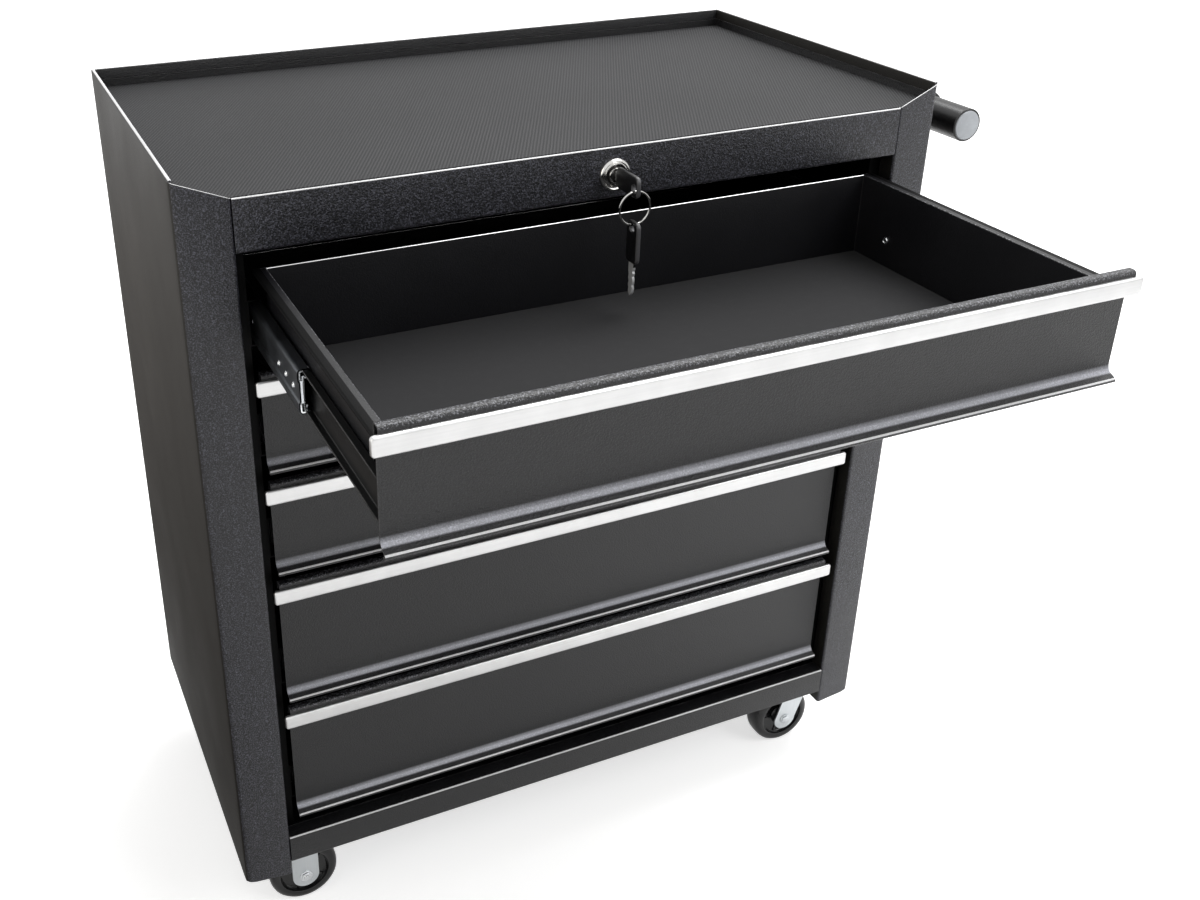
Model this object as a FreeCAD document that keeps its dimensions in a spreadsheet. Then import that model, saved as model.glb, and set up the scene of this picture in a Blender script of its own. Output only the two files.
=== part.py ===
import FreeCAD, Part
import os
import re
import Sketcher
from FreeCAD import Placement, Rotation, Vector

# Rolling tool cabinet with five drawers, the top drawer standing open.
# Sizes are millimetres. They are laid out from the cabinet itself: x = 0 is the middle
# of its width, y = 0 the front of the rails, z = 0 the bottom edge of the side panels.
# Every finished piece is then shifted so that the origin lies on the floor in the
# middle of the whole object.

SIZES = {
    # Carcass of folded sheet
    "cabinet_width": 616,
    "cabinet_depth": 330,
    "panel_height": 618,
    "sheet": 1,
    "post_width": 38.5,
    "post_setback": 4,
    "post_return": 16,
    "back_return": 15,
    "rim_drop": 16,
    "rim_thickness": 3,
    "rim_fold": 9,
    "seam": 0.2,
    # Worktop, rails and base
    "worktop_mat": 1.5,
    "mat_clearance": 0.5,
    "rail_height": 39,
    "rail_fold": 7,
    "rail_return": 14,
    "base_rail_top": 40,
    "base_underside": 12,
    "base_flange": 27,
    # Drawer fronts and their aluminium strips
    "small_pitch": 89,
    "base_gap": 18,
    "front_clearance": 4,
    "front_gap": 9,
    "front_width": 518,
    "front_face": 9,
    "lip_front": 4,
    "lip_back": 12,
    "lip_height": 4,
    "lip_fold": 8,
    "flare_tip": 1,
    "flare_height": 10,
    "flare_roll": 3.5,
    "strip_height": 12.5,
    "strip_width": 528,
    "strip_front": 1,
    "strip_round": 1.2,
    # Drawer trays
    "tray_width": 498,
    "tray_clearance": 63,
    "tray_lift": 1,
    "tray_drop": 11.5,
    "tray_flange": 9,
    "liner": 1.5,
    "liner_clearance": 0.6,
    "tray_held": 9,
    # Telescopic runners
    "runner_thickness": 12,
    "runner_height": 35,
    "runner_lift": 23,
    "runner_sheet": 1.2,
    "runner_play": 0.35,
    "runner_lip": 8,
    "outer_front": 20,
    "middle_front": 34,
    "middle_stop": 30,
    "inner_front": 16,
    "inner_stop": 3,
    "screw_radius": 3.2,
    "screw_height": 1.6,
    "screw_inset": 34,
    "upright_width": 40,
    "upright_front": 18,
    "upright_sheet": 1.2,
    # Lock and keys
    "lock_offset": 13,
    "lock_drop": 21,
    "bezel_radius": 12.5,
    "bezel_height": 3,
    "barrel_radius": 9.5,
    "barrel_length": 22,
    "plug_radius": 6,
    "plug_proud": 0.5,
    "turning_fit": 0.05,
    "nut_radius": 13,
    "nut_height": 4,
    "keyway_width": 2.4,
    "cam_length": 28,
    "cam_width": 14,
    "cam_sheet": 2,
    "key_sheet": 2,
    "blade_height": 7,
    "blade_length": 26,
    "head_height": 16,
    "head_length": 32,
    "head_thickness": 3.6,
    "head_proud": 4.5,
    "eye_radius": 3.2,
    "eye_inset": 5,
    "eye_drop": 1,
    "ring_radius": 12.5,
    "ring_wire": 0.8,
    "hanging_play": 0.2,
    # Push handle on the right side
    "handle_radius": 14,
    "handle_wall": 1.5,
    "handle_standoff": 50,
    "handle_drop": 45,
    "handle_inset": 18,
    "cap_radius": 12.4,
    "cap_depth": 9,
    "cap_proud": 0.8,
    "bracket_inset": 80,
    "bracket_width": 24,
    "bracket_plate": 2.5,
    "bracket_wall": 3,
    "bracket_foot": 44,
    "clamp_fit": 0.05,
    # Casters
    "floor_drop": 74,
    "wheel_radius": 31,
    "wheel_width": 22,
    "tyre_round": 4,
    "hub_radius": 9,
    "hub_width": 25.2,
    "dish_radius": 21,
    "dish_depth": 4,
    "axle_radius": 4,
    "axle_head": 6.2,
    "axle_head_height": 3,
    "fork_gap": 26,
    "fork_sheet": 2,
    "leg_width": 24,
    "caster_inset": 47,
    "fixed_offset": 251,
    "swivel_offset": 272,
    "caster_trail": 14,
    "plate_length": 62,
    "plate_width": 52,
    "plate_sheet": 2.5,
    "race_radius": 20,
    "race_height": 7,
    "crown_radius": 22,
    "crown_sheet": 2.7,
    "crown_gap": 0.3,
    "kingpin_radius": 5,
    "kingpin_fit": 0.1,
    "bolt_radius": 3,
    "bolt_head": 5.5,
    "bolt_head_height": 3,
    "bolt_length": 7,
    "bolt_inset": 8,
    "hole_fit": 0.1,
}

doc = FreeCAD.newDocument("tool_cabinet")
sheet = doc.addObject("Spreadsheet::Sheet", "Sizes")
for row, (alias, size) in enumerate(SIZES.items(), start=1):
    sheet.set(f"A{row}", alias)
    sheet.set(f"B{row}", str(size))
    sheet.setAlias(f"B{row}", alias)
doc.recompute()

ALIAS = re.compile(r"\b(" + "|".join(sorted(SIZES, key=len, reverse=True)) + r")\b")

# Places that several pieces share, written in terms of the sizes.
HALF = "(cabinet_width / 2)"
POST_EDGE = f"({HALF} - post_width)"
RAIL_TOP = "(panel_height - rim_drop)"
RAIL_BOTTOM = f"({RAIL_TOP} - rail_height)"
WORKTOP = f"({RAIL_TOP} - sheet)"
BACK_FACE = "(cabinet_depth - 2 * sheet)"
POST_BACK = "(post_setback + sheet + seam)"
BASE_TOP = "(base_underside + sheet)"
TRAY_SIDE = "(tray_width / 2)"
TRAY_FRONT = "(front_face + sheet)"
RUNNER_FACE = f"({TRAY_SIDE} + runner_thickness)"
LOCK_HEIGHT = f"({RAIL_TOP} - lock_drop)"
STACK = f"({RAIL_BOTTOM} - front_clearance - base_rail_top - base_gap + front_gap)"
LARGE_PITCH = f"(({STACK} - 3 * small_pitch) / 2)"
TRAY_BACK = f"({BACK_FACE} - tray_clearance)"
OUTER_END = f"({BACK_FACE} - upright_front)"
MIDDLE_END = f"({OUTER_END} - middle_stop)"
INNER_END = f"({TRAY_BACK} - inner_stop)"
OPEN = f"({TRAY_BACK} - tray_held)"
HANDLE_HEIGHT = "(panel_height - handle_drop)"
HANDLE_X = f"({HALF} + handle_standoff)"
AXLE_HEIGHT = "(wheel_radius - floor_drop)"
FRAME = (
    f"({HALF} - {HANDLE_X} - handle_radius - bracket_wall) / 2",
    f"({OPEN} - strip_front - cabinet_depth) / 2",
    "floor_drop",
)

pieces = []


def formula(text):
    return ALIAS.sub(r"Sizes.\1", text)


def bind(item, name, text):
    item.setExpression(name, formula(text))


def number(text):
    """Value of a formula, worked out in a spare cell of the sheet."""
    spare = f"D{len(SIZES) + 1}"
    sheet.set(spare, "=" + text)
    sheet.recompute()
    value = float(sheet.get(spare))
    sheet.clear(spare)
    return value


def mirrored(side, near, far):
    """Span from near to far on the right (side 1), or its mirror on the left (-1)."""
    if side > 0:
        return near, far
    return f"-({far})", f"-({near})"


def settle(item, label, start=("0", "0", "0")):
    """Name a finished piece and move it from the cabinet's layout to the part's frame."""
    item.Label = label
    for axis, place, shift in zip("xyz", start, FRAME):
        bind(item, f"Placement.Base.{axis}", f"{place} + {shift}")
    pieces.append(item)
    return item


def box(name, x, y, z):
    item = doc.addObject("Part::Box", name)
    for side, axis, (low, high) in zip(("Length", "Width", "Height"), "xyz", (x, y, z)):
        bind(item, side, f"({high}) - ({low})")
        bind(item, f"Placement.Base.{axis}", low)
    return item


TURNS = {
    "x": Rotation(Vector(0, 1, 0), 90),
    "y": Rotation(Vector(1, 0, 0), -90),
    "z": Rotation(),
}


def rod(name, axis, start, length, radius):
    """Round bar from a start point along one axis."""
    item = doc.addObject("Part::Cylinder", name)
    item.Placement = Placement(Vector(), TURNS[axis])
    bind(item, "Radius", radius)
    bind(item, "Height", length)
    for direction, place in zip("xyz", start):
        bind(item, f"Placement.Base.{direction}", place)
    return item


def fuse(name, items):
    item = doc.addObject("Part::MultiFuse", name)
    item.Shapes = items
    item.Refine = True
    return item


def cut(name, base, tool):
    item = doc.addObject("Part::Cut", name)
    item.Base = base
    item.Tool = tool
    return item


def group(name, items):
    item = doc.addObject("Part::Compound", name)
    item.Links = items
    return item


def origin_plane(body, role):
    return next(item for item in body.Origin.OriginFeatures if item.Role == role)


def outline(body, name, plane, points, offset="0"):
    """Closed sketch of straight edges, each corner held by its two distances."""
    item = body.newObject("Sketcher::SketchObject", name)
    item.AttachmentSupport = [(origin_plane(body, plane), "")]
    item.MapMode = "FlatFace"
    bind(item, "AttachmentOffset.Base.z", offset)
    corners = [Vector(number(u), number(v), 0) for u, v in points]
    for start, end in zip(corners, corners[1:] + corners[:1]):
        item.addGeometry(Part.LineSegment(start, end), False)
    last = len(points) - 1
    for index in range(len(points)):
        following = 0 if index == last else index + 1
        item.addConstraint(Sketcher.Constraint("Coincident", index, 2, following, 1))
    for index, (texts, corner) in enumerate(zip(points, corners)):
        for kind, text, value in zip(("DistanceX", "DistanceY"), texts, (corner.x, corner.y)):
            place = item.addConstraint(Sketcher.Constraint(kind, -1, 1, index, 1, value))
            bind(item, f"Constraints[{place}]", text)
    return item


def pad(body, name, plane, points, offset, length):
    profile = outline(body, name + "_sketch", plane, points, offset)
    item = body.newObject("PartDesign::Pad", name)
    item.Profile = profile
    bind(item, "Length", length)
    body.Tip = item
    return item


def pocket(body, name, plane, points, offset, length):
    profile = outline(body, name + "_sketch", plane, points, offset)
    item = body.newObject("PartDesign::Pocket", name)
    item.Profile = profile
    bind(item, "Length", length)
    body.Tip = item
    return item


def round_edges(body, name, base, radius, chosen):
    """Fillet on the edges of a feature that a test picks."""
    doc.recompute()
    item = body.newObject("PartDesign::Fillet", name)
    edges = [f"Edge{n}" for n, edge in enumerate(base.Shape.Edges, start=1) if chosen(edge)]
    item.Base = (base, edges)
    bind(item, "Radius", radius)
    body.Tip = item
    return item


def new_body(name):
    return doc.addObject("PartDesign::Body", name)


def rectangle(u, v):
    return [(u[0], v[0]), (u[1], v[0]), (u[1], v[1]), (u[0], v[1])]


# Side panels: one bent sheet each, with a front corner post, a back return and a hemmed rim
def side_panel(side, name):
    def x(text):
        return f"{side} * ({text})"

    body = new_body(name + "_body")
    section = [
        (x(f"{HALF} - back_return"), "cabinet_depth"),
        (x(HALF), "cabinet_depth"),
        (x(HALF), "post_setback"),
        (x(POST_EDGE), "0"),
        (x(POST_EDGE), "post_return"),
        (x(f"{POST_EDGE} + sheet"), "post_return"),
        (x(f"{POST_EDGE} + sheet"), "sheet"),
        (x(f"{HALF} - sheet"), "post_setback + sheet"),
        (x(f"{HALF} - sheet"), "cabinet_depth - sheet"),
        (x(f"{HALF} - back_return"), "cabinet_depth - sheet"),
    ]
    pad(body, name + "_wall", "XY_Plane", section, "0", "panel_height")
    slope = [
        (x(f"{HALF} - sheet"), "panel_height + 1"),
        (x(f"{HALF} - sheet"), "panel_height"),
        (x(f"{POST_EDGE} - 1"), RAIL_TOP),
        (x(f"{POST_EDGE} - 1"), "panel_height + 1"),
    ]
    doc.recompute()
    before = body.Shape.Volume
    pocket(body, name + "_slope", "XZ_Plane", slope, "1", "post_return + 2")
    doc.recompute()
    if body.Shape.Volume >= before:
        raise RuntimeError(name + ": the slope on the post was not cut")
    fold = rectangle(
        (x(f"{HALF} - rim_thickness"), x(f"{HALF} - sheet")),
        (POST_BACK, f"{BACK_FACE} - seam"),
    )
    pad(body, name + "_rim", "XY_Plane", fold, "panel_height - rim_fold", "rim_fold")
    return settle(body, name)


def back_panel():
    width = (f"-({HALF} - sheet)", f"{HALF} - sheet")
    wall = box("back_wall", width, (BACK_FACE, "cabinet_depth - sheet"), (BASE_TOP, "panel_height"))
    reach = f"({HALF} - rim_thickness - seam)"
    rim = box(
        "back_rim",
        (f"-{reach}", reach),
        (f"{BACK_FACE} - rim_thickness + sheet", BACK_FACE),
        ("panel_height - rim_fold", "panel_height"),
    )
    return settle(fuse("back_sheet", [wall, rim]), "back_panel")


# Slots in a floor or mat that clear the folded edges of both posts
def post_slots(name, play, height):
    near = f"{POST_EDGE} - {play}"
    far = f"{POST_EDGE} + sheet + {play}"
    depth = ("0", f"post_return + {play}")
    return group(name, [
        box(f"{name}_left", mirrored(-1, near, far), depth, height),
        box(f"{name}_right", mirrored(1, near, far), depth, height),
    ])


# Worktop: a shallow pan whose front edge is folded down behind the lock rail
def worktop():
    inner = f"({HALF} - sheet)"
    low = f"{WORKTOP} - sheet"
    wall_top = "panel_height - rim_fold - seam"
    middle = (f"-({POST_EDGE} - seam)", f"{POST_EDGE} - seam")
    solids = [
        box("pan_floor", (f"-{inner}", inner), (POST_BACK, BACK_FACE), (low, WORKTOP)),
        box("pan_front", middle, ("2 * sheet", POST_BACK), (low, WORKTOP)),
        box("pan_fold", middle, ("2 * sheet", "3 * sheet"), (f"{WORKTOP} - rail_fold", WORKTOP)),
        box("pan_back", (f"-{inner}", inner), (f"{BACK_FACE} - sheet", BACK_FACE), (low, wall_top)),
    ]
    for side, word in ((-1, "left"), (1, "right")):
        span = mirrored(side, f"{inner} - sheet", inner)
        solids.append(box("pan_" + word, span, (POST_BACK, BACK_FACE), (low, wall_top)))
    slots = post_slots("pan_slot", "seam", (low, WORKTOP))
    settle(cut("pan", fuse("pan_blank", solids), slots), "top_tray")

    edge = f"({HALF} - rim_thickness - mat_clearance)"
    middle_edge = f"({POST_EDGE} - seam - mat_clearance)"
    height = (WORKTOP, f"{WORKTOP} + worktop_mat")
    front = f"{POST_BACK} + mat_clearance"
    rear = f"{BACK_FACE} + sheet - rim_thickness - mat_clearance"
    main = box("mat_main", (f"-{edge}", edge), (front, rear), height)
    lead = box("mat_lead", (f"-{middle_edge}", middle_edge), ("2 * sheet + seam", front), height)
    slots = post_slots("mat_slot", "mat_clearance", height)
    settle(cut("mat", fuse("mat_blank", [main, lead]), slots), "top_mat")


def rails():
    reach = f"({POST_EDGE} - seam)"
    width = (f"-{reach}", reach)
    face = box("rail_face", width, ("0", "sheet"), (RAIL_BOTTOM, RAIL_TOP))
    hem = box("rail_hem", width, ("0", "2 * sheet"), (f"{RAIL_TOP} - rail_fold", RAIL_TOP))
    foot = box("rail_foot", width, ("0", "rail_return"), (RAIL_BOTTOM, f"{RAIL_BOTTOM} + sheet"))
    hole = rod("rail_hole", "y", ("lock_offset", "-1", LOCK_HEIGHT), "sheet + 2", "barrel_radius + hole_fit")
    settle(cut("rail_cut", fuse("rail", [face, hem, foot]), hole), "lock_rail")

    face = box("base_face", width, ("0", "sheet"), (BASE_TOP, "base_rail_top"))
    lid = box("base_lid", width, ("0", "rail_return"), ("base_rail_top - sheet", "base_rail_top"))
    foot = box("base_foot", width, ("0", "rail_return"), (BASE_TOP, f"{BASE_TOP} + sheet"))
    settle(fuse("base_rail", [face, lid, foot]), "bottom_rail")


# Mounting points of the casters: (name, x, y)
CASTERS = (
    ("fixed_front", "-fixed_offset", "caster_inset"),
    ("fixed_rear", "-fixed_offset", "cabinet_depth - caster_inset"),
    ("swivel_front", "swivel_offset", "caster_inset"),
    ("swivel_rear", "swivel_offset", "cabinet_depth - caster_inset"),
)


def bolt_places(x, y):
    along = "(plate_length / 2 - bolt_inset)"
    across = "(plate_width / 2 - bolt_inset)"
    return [(f"{x} + {i} * {along}", f"{y} + {j} * {across}") for i in (-1, 1) for j in (-1, 1)]


def bolt_holes(name, x, y):
    return [
        rod(f"{name}_{n}", "z", (px, py, "base_underside - plate_sheet - 1"),
            "plate_sheet + sheet + 2", "bolt_radius + hole_fit")
        for n, (px, py) in enumerate(bolt_places(x, y))
    ]


def base_pan():
    inner = f"({HALF} - sheet)"
    height = ("base_underside", "base_underside + base_flange")
    floor = ("base_underside", BASE_TOP)
    solids = [
        box("base_floor", (f"-{inner}", inner), (POST_BACK, BACK_FACE), floor),
        box("base_back", (f"-{inner}", inner), (f"{BACK_FACE} - sheet", BACK_FACE), floor),
    ]
    for side, word in ((-1, "left"), (1, "right")):
        span = mirrored(side, f"{inner} - sheet", inner)
        solids.append(box("base_" + word, span, (POST_BACK, BACK_FACE), height))
    openings = [post_slots("base_slot", "seam", floor)]
    for name, x, y in CASTERS:
        openings += bolt_holes("base_hole_" + name, x, y)
    settle(cut("base", fuse("base_blank", solids), group("base_openings", openings)), "base_pan")


# Four folded uprights stand inside the side panels and carry the runners
def uprights():
    solids = []
    rear = f"{OUTER_END} - upright_width"
    for side, word in ((-1, "left"), (1, "right")):
        for place, start in (("front", "upright_front"), ("rear", rear)):
            end = f"{start} + upright_width"
            height = (BASE_TOP, f"{WORKTOP} - sheet")
            name = f"upright_{word}_{place}_"
            near = f"{RUNNER_FACE} + upright_sheet"
            far = f"{HALF} - 2 * sheet"
            legs = [
                box(name + "web", mirrored(side, RUNNER_FACE, near), (start, end), height),
                box(name + "leg_a", mirrored(side, near, far), (start, f"{start} + upright_sheet"), height),
                box(name + "leg_b", mirrored(side, near, far), (f"{end} - upright_sheet", end), height),
            ]
            solids.append(fuse(name + "fold", legs))
    settle(group("uprights", solids), "runner_uprights")


# A runner's three members are channels nested in each other, drawn as (depth, height)
def channel(depth, web, flange, half):
    """Channel section: web at one depth, flanges reaching to another, half its height."""
    inside = f"({half} - runner_sheet)"
    back = f"({web})"
    front = f"({depth})"
    bend = f"({flange})"
    return [(back, f"-{half}"), (front, f"-{half}"), (front, f"-{inside}"), (bend, f"-{inside}"),
            (bend, inside), (front, inside), (front, half), (back, half)]


def runner(side, name, member, centre, start, length):
    """One member as a body: its section lies across x and z and runs along y."""
    half = "(runner_height / 2)"
    inset = "(runner_sheet + runner_play)"
    if member == "outer":
        section = channel(f"{RUNNER_FACE} - runner_sheet - runner_lip", RUNNER_FACE,
                          f"{RUNNER_FACE} - runner_sheet", half)
    elif member == "middle":
        web = f"({RUNNER_FACE} - runner_sheet - 2 * runner_play - runner_sheet / 2)"
        section = channel(f"{TRAY_SIDE} + runner_sheet", web, f"{web} - runner_sheet",
                          f"({half} - {inset})")
    else:
        section = channel(f"{TRAY_SIDE} + runner_thickness / 2 - runner_play", TRAY_SIDE,
                          f"{TRAY_SIDE} + runner_sheet", f"({half} - 2 * {inset})")
    body = new_body(name)
    points = [(f"{side} * {u}", f"{centre} + {v}") for u, v in section]
    pad(body, name + "_pad", "XZ_Plane", points, f"-({start} + {length})", length)
    return body


def screw(side, name, centre, along):
    """Round screw head inside the tray wall, opposite the inner member."""
    inner = f"({TRAY_SIDE} - sheet)"
    low, _high = mirrored(side, f"{inner} - screw_height", inner)
    return rod(name, "x", (low, along, centre), "screw_height", "screw_radius")


DRAWERS = []
for n in range(1, 6):
    small = min(n - 1, 3)
    large = max(n - 4, 0)
    top = f"({RAIL_BOTTOM} - front_clearance - {small} * small_pitch - {large} * {LARGE_PITCH})"
    pitch = "small_pitch" if n <= 3 else LARGE_PITCH
    DRAWERS.append({
        "name": f"drawer_{n}",
        "top": top,
        "bottom": f"({top} - {pitch} + front_gap)",
        "out": OPEN if n == 1 else "0",
    })


def drawer_front(drawer):
    name = drawer["name"] + "_front"
    top = drawer["top"]
    low = drawer["bottom"]
    out = drawer["out"]
    step = f"({top} - lip_height - strip_height + sheet)"
    section = [
        ("flare_tip", low),
        ("flare_tip", f"{low} + flare_roll"),
        ("front_face - 2 * sheet", f"{low} + flare_roll + 2 * sheet"),
        ("front_face", f"{low} + flare_height"),
        ("front_face", step),
        ("lip_front", step),
        ("lip_front", top),
        ("lip_back", top),
        ("lip_back", f"{top} - lip_fold"),
        ("lip_back - sheet", f"{top} - lip_fold"),
        ("lip_back - sheet", f"{top} - sheet"),
        ("lip_front + sheet", f"{top} - sheet"),
        ("lip_front + sheet", f"{step} + sheet"),
        ("front_face + sheet", f"{step} + sheet"),
        ("front_face + sheet", f"{low} + flare_height"),
        ("front_face - sheet", f"{low} + flare_roll"),
        ("flare_tip + flare_roll", low),
    ]
    body = new_body(name + "_body")
    points = [(f"{y} - {out}", z) for y, z in section]
    pad(body, name + "_fold", "YZ_Plane", points, "-front_width / 2", "front_width")
    return settle(body, name)


def drawer_strip(drawer):
    name = drawer["name"] + "_handle"
    high = f"({drawer['top']} - lip_height)"
    out = drawer["out"]
    body = new_body(name + "_body")
    section = rectangle((f"strip_front - {out}", f"lip_front - {out}"), (f"{high} - strip_height", high))
    bar = pad(body, name + "_bar", "YZ_Plane", section, "-strip_width / 2", "strip_width")
    face = number(f"strip_front - {out}")
    round_edges(body, name + "_round", bar, "strip_round",
                lambda edge: all(abs(v.Y - face) < 1e-6 for v in edge.Vertexes))
    return settle(body, name)


def drawer_tray(drawer):
    name = drawer["name"] + "_tray"
    out = drawer["out"]
    low = f"({drawer['bottom']} + tray_lift)"
    high = f"({drawer['top']} - tray_drop)"
    inner = f"({TRAY_SIDE} - sheet)"
    depth = (f"{TRAY_FRONT} - {out}", f"{TRAY_BACK} - {out}")
    hollow_depth = (f"{TRAY_FRONT} + sheet - {out}", f"{TRAY_BACK} - sheet - {out}")
    shell = box(name + "_shell", (f"-{TRAY_SIDE}", TRAY_SIDE), depth, (low, high))
    hollow = box(name + "_hollow", (f"-{inner}", inner), hollow_depth, (f"{low} + sheet", f"{high} + 1"))
    solids = [cut(name + "_pan", shell, hollow)]
    for side, word in ((-1, "left"), (1, "right")):
        span = mirrored(side, inner, f"{TRAY_SIDE} + tray_flange")
        solids.append(box(f"{name}_flange_{word}", span, depth, (f"{high} - sheet", high)))
    settle(fuse(name + "_fold", solids), name)

    edge = f"({inner} - liner_clearance)"
    liner_depth = (f"{TRAY_FRONT} + sheet + liner_clearance - {out}",
                   f"{TRAY_BACK} - sheet - liner_clearance - {out}")
    height = (f"{low} + sheet", f"{low} + sheet + liner")
    start = (f"-{edge}", liner_depth[0], height[0])
    mat = box(drawer["name"] + "_liner", (f"-{edge}", edge), liner_depth, height)
    settle(mat, drawer["name"] + "_mat", start)


def drawer_runners(drawer):
    """Inner members move with the tray, middle members half as far."""
    name = drawer["name"]
    out = drawer["out"]
    centre = f"({drawer['bottom']} + tray_lift + runner_lift)"
    inner = []
    middle = []
    outer = []
    for side, word in ((-1, "left"), (1, "right")):
        inner.append(runner(side, f"{name}_inner_{word}", "inner", centre,
                            f"(inner_front - {out})", f"{INNER_END} - inner_front"))
        for place, along in (("a", f"inner_front + screw_inset - {out}"),
                             ("b", f"{INNER_END} - screw_inset - {out}")):
            inner.append(screw(side, f"{name}_screw_{word}_{place}", centre, along))
        middle.append(runner(side, f"{name}_middle_{word}", "middle", centre,
                             f"(middle_front - {out} / 2)", f"{MIDDLE_END} - middle_front"))
        outer.append(runner(side, f"{name}_outer_{word}", "outer", centre, "outer_front",
                            f"{OUTER_END} - outer_front"))
    settle(group(name + "_inner_pair", inner), name + "_inner_runners")
    settle(group(name + "_middle_pair", middle), name + "_mid_runners")
    return outer


# Lock in the upper rail: housing with its nut, turning plug, cam and the key in the plug
def lock():
    x = "lock_offset"
    z = LOCK_HEIGHT
    bezel = rod("lock_bezel", "y", (x, "-bezel_height", z), "bezel_height", "bezel_radius")
    barrel = rod("lock_barrel", "y", (x, "-bezel_height", z), "bezel_height + barrel_length", "barrel_radius")
    bore = rod("lock_bore", "y", (x, "-bezel_height - 1", z), "bezel_height + barrel_length + 2",
               "plug_radius + turning_fit")
    housing = cut("lock_case", fuse("lock_case_blank", [bezel, barrel]), bore)
    blank = doc.addObject("Part::Prism", "lock_nut_blank")
    blank.Polygon = 6
    blank.Placement = Placement(Vector(), TURNS["y"])
    bind(blank, "Circumradius", "nut_radius")
    bind(blank, "Height", "nut_height")
    for axis, place in zip("xyz", (x, "sheet", z)):
        bind(blank, f"Placement.Base.{axis}", place)
    nut_hole = rod("lock_nut_hole", "y", (x, "0", z), "nut_height + 2", "barrel_radius + hole_fit")
    nut = cut("lock_nut", blank, nut_hole)
    settle(group("lock_case_set", [housing, nut]), "lock_housing")

    plug_start = "-bezel_height - plug_proud"
    plug_end = "barrel_length + 2 * plug_proud"
    plug = rod("plug_round", "y", (x, plug_start, z), f"{plug_end} - ({plug_start})", "plug_radius")
    slot = box("plug_slot", (f"{x} - keyway_width / 2", f"{x} + keyway_width / 2"),
               (f"{plug_start} - 1", "blade_length - head_proud + 1"),
               (f"{z} - blade_height / 2 - 2 * hole_fit", f"{z} + blade_height / 2 + 2 * hole_fit"))
    settle(cut("plug", plug, slot), "lock_plug")

    cam_y = (plug_end, f"{plug_end} + cam_sheet")
    arm = box("cam_arm", (x, f"{x} + cam_length"), cam_y, (f"{z} - cam_width / 2", f"{z} + cam_width / 2"))
    eye = rod("cam_eye", "y", (x, cam_y[0], z), "cam_sheet", "cam_width / 2")
    screw_head = rod("cam_screw", "y", (x, cam_y[1], z), "screw_height", "screw_radius")
    settle(group("cam_set", [fuse("cam", [arm, eye]), screw_head]), "lock_cam")


RING_X = "lock_offset"
EYE_Y = "(-head_proud - head_length + eye_inset)"
EYE_Z = f"({LOCK_HEIGHT} - eye_drop)"
RING_TOP = f"({EYE_Z} - eye_radius + ring_wire + hanging_play)"
RING_Z = f"({RING_TOP} - ring_radius)"
SPARE_EYE = f"({RING_Z} - ring_radius + ring_wire + hanging_play - eye_radius)"


def key_head(name, y, z, eye):
    """Flat rounded grip with the eye for the ring; y and z are spans."""
    body = new_body(name)
    grip = pad(body, name + "_plate", "YZ_Plane", rectangle(y, z),
               f"{RING_X} - head_thickness / 2", "head_thickness")
    round_edges(body, name + "_corners", grip, "head_height / 4",
                lambda edge: abs(edge.Length - SIZES["head_thickness"]) < 1e-6)
    hole = rod(name + "_eye", "x", (f"{RING_X} - head_thickness", eye[0], eye[1]),
               "2 * head_thickness", "eye_radius")
    return cut(name + "_grip", body, hole)


def keys():
    z = LOCK_HEIGHT
    half_head = "head_height / 2"
    head = key_head("key_head", ("-head_proud - head_length", "-head_proud"),
                    (f"{z} - {half_head}", f"{z} + {half_head}"), (EYE_Y, EYE_Z))
    blade = box("key_blade", (f"{RING_X} - key_sheet / 2", f"{RING_X} + key_sheet / 2"),
                ("-head_proud", "blade_length - head_proud"),
                (f"{z} - blade_height / 2", f"{z} + blade_height / 2"))
    settle(group("key_set", [head, blade]), "key")

    ring = doc.addObject("Part::Torus", "split_ring")
    ring.Placement = Placement(Vector(), TURNS["y"])
    bind(ring, "Radius1", "ring_radius")
    bind(ring, "Radius2", "ring_wire")
    settle(ring, "key_ring", (RING_X, EYE_Y, RING_Z))

    head_top = f"({SPARE_EYE} + eye_radius + ring_wire + 1)"
    spare_head = key_head("spare_head", (f"{EYE_Y} - {half_head}", f"{EYE_Y} + {half_head}"),
                          (f"{head_top} - head_length", head_top), (EYE_Y, SPARE_EYE))
    spare_blade = box("spare_blade", (f"{RING_X} - key_sheet / 2", f"{RING_X} + key_sheet / 2"),
                      (f"{EYE_Y} - blade_height / 2", f"{EYE_Y} + blade_height / 2"),
                      (f"{head_top} - head_length - blade_length", f"{head_top} - head_length"))
    settle(group("spare_set", [spare_head, spare_blade]), "spare_key")


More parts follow.
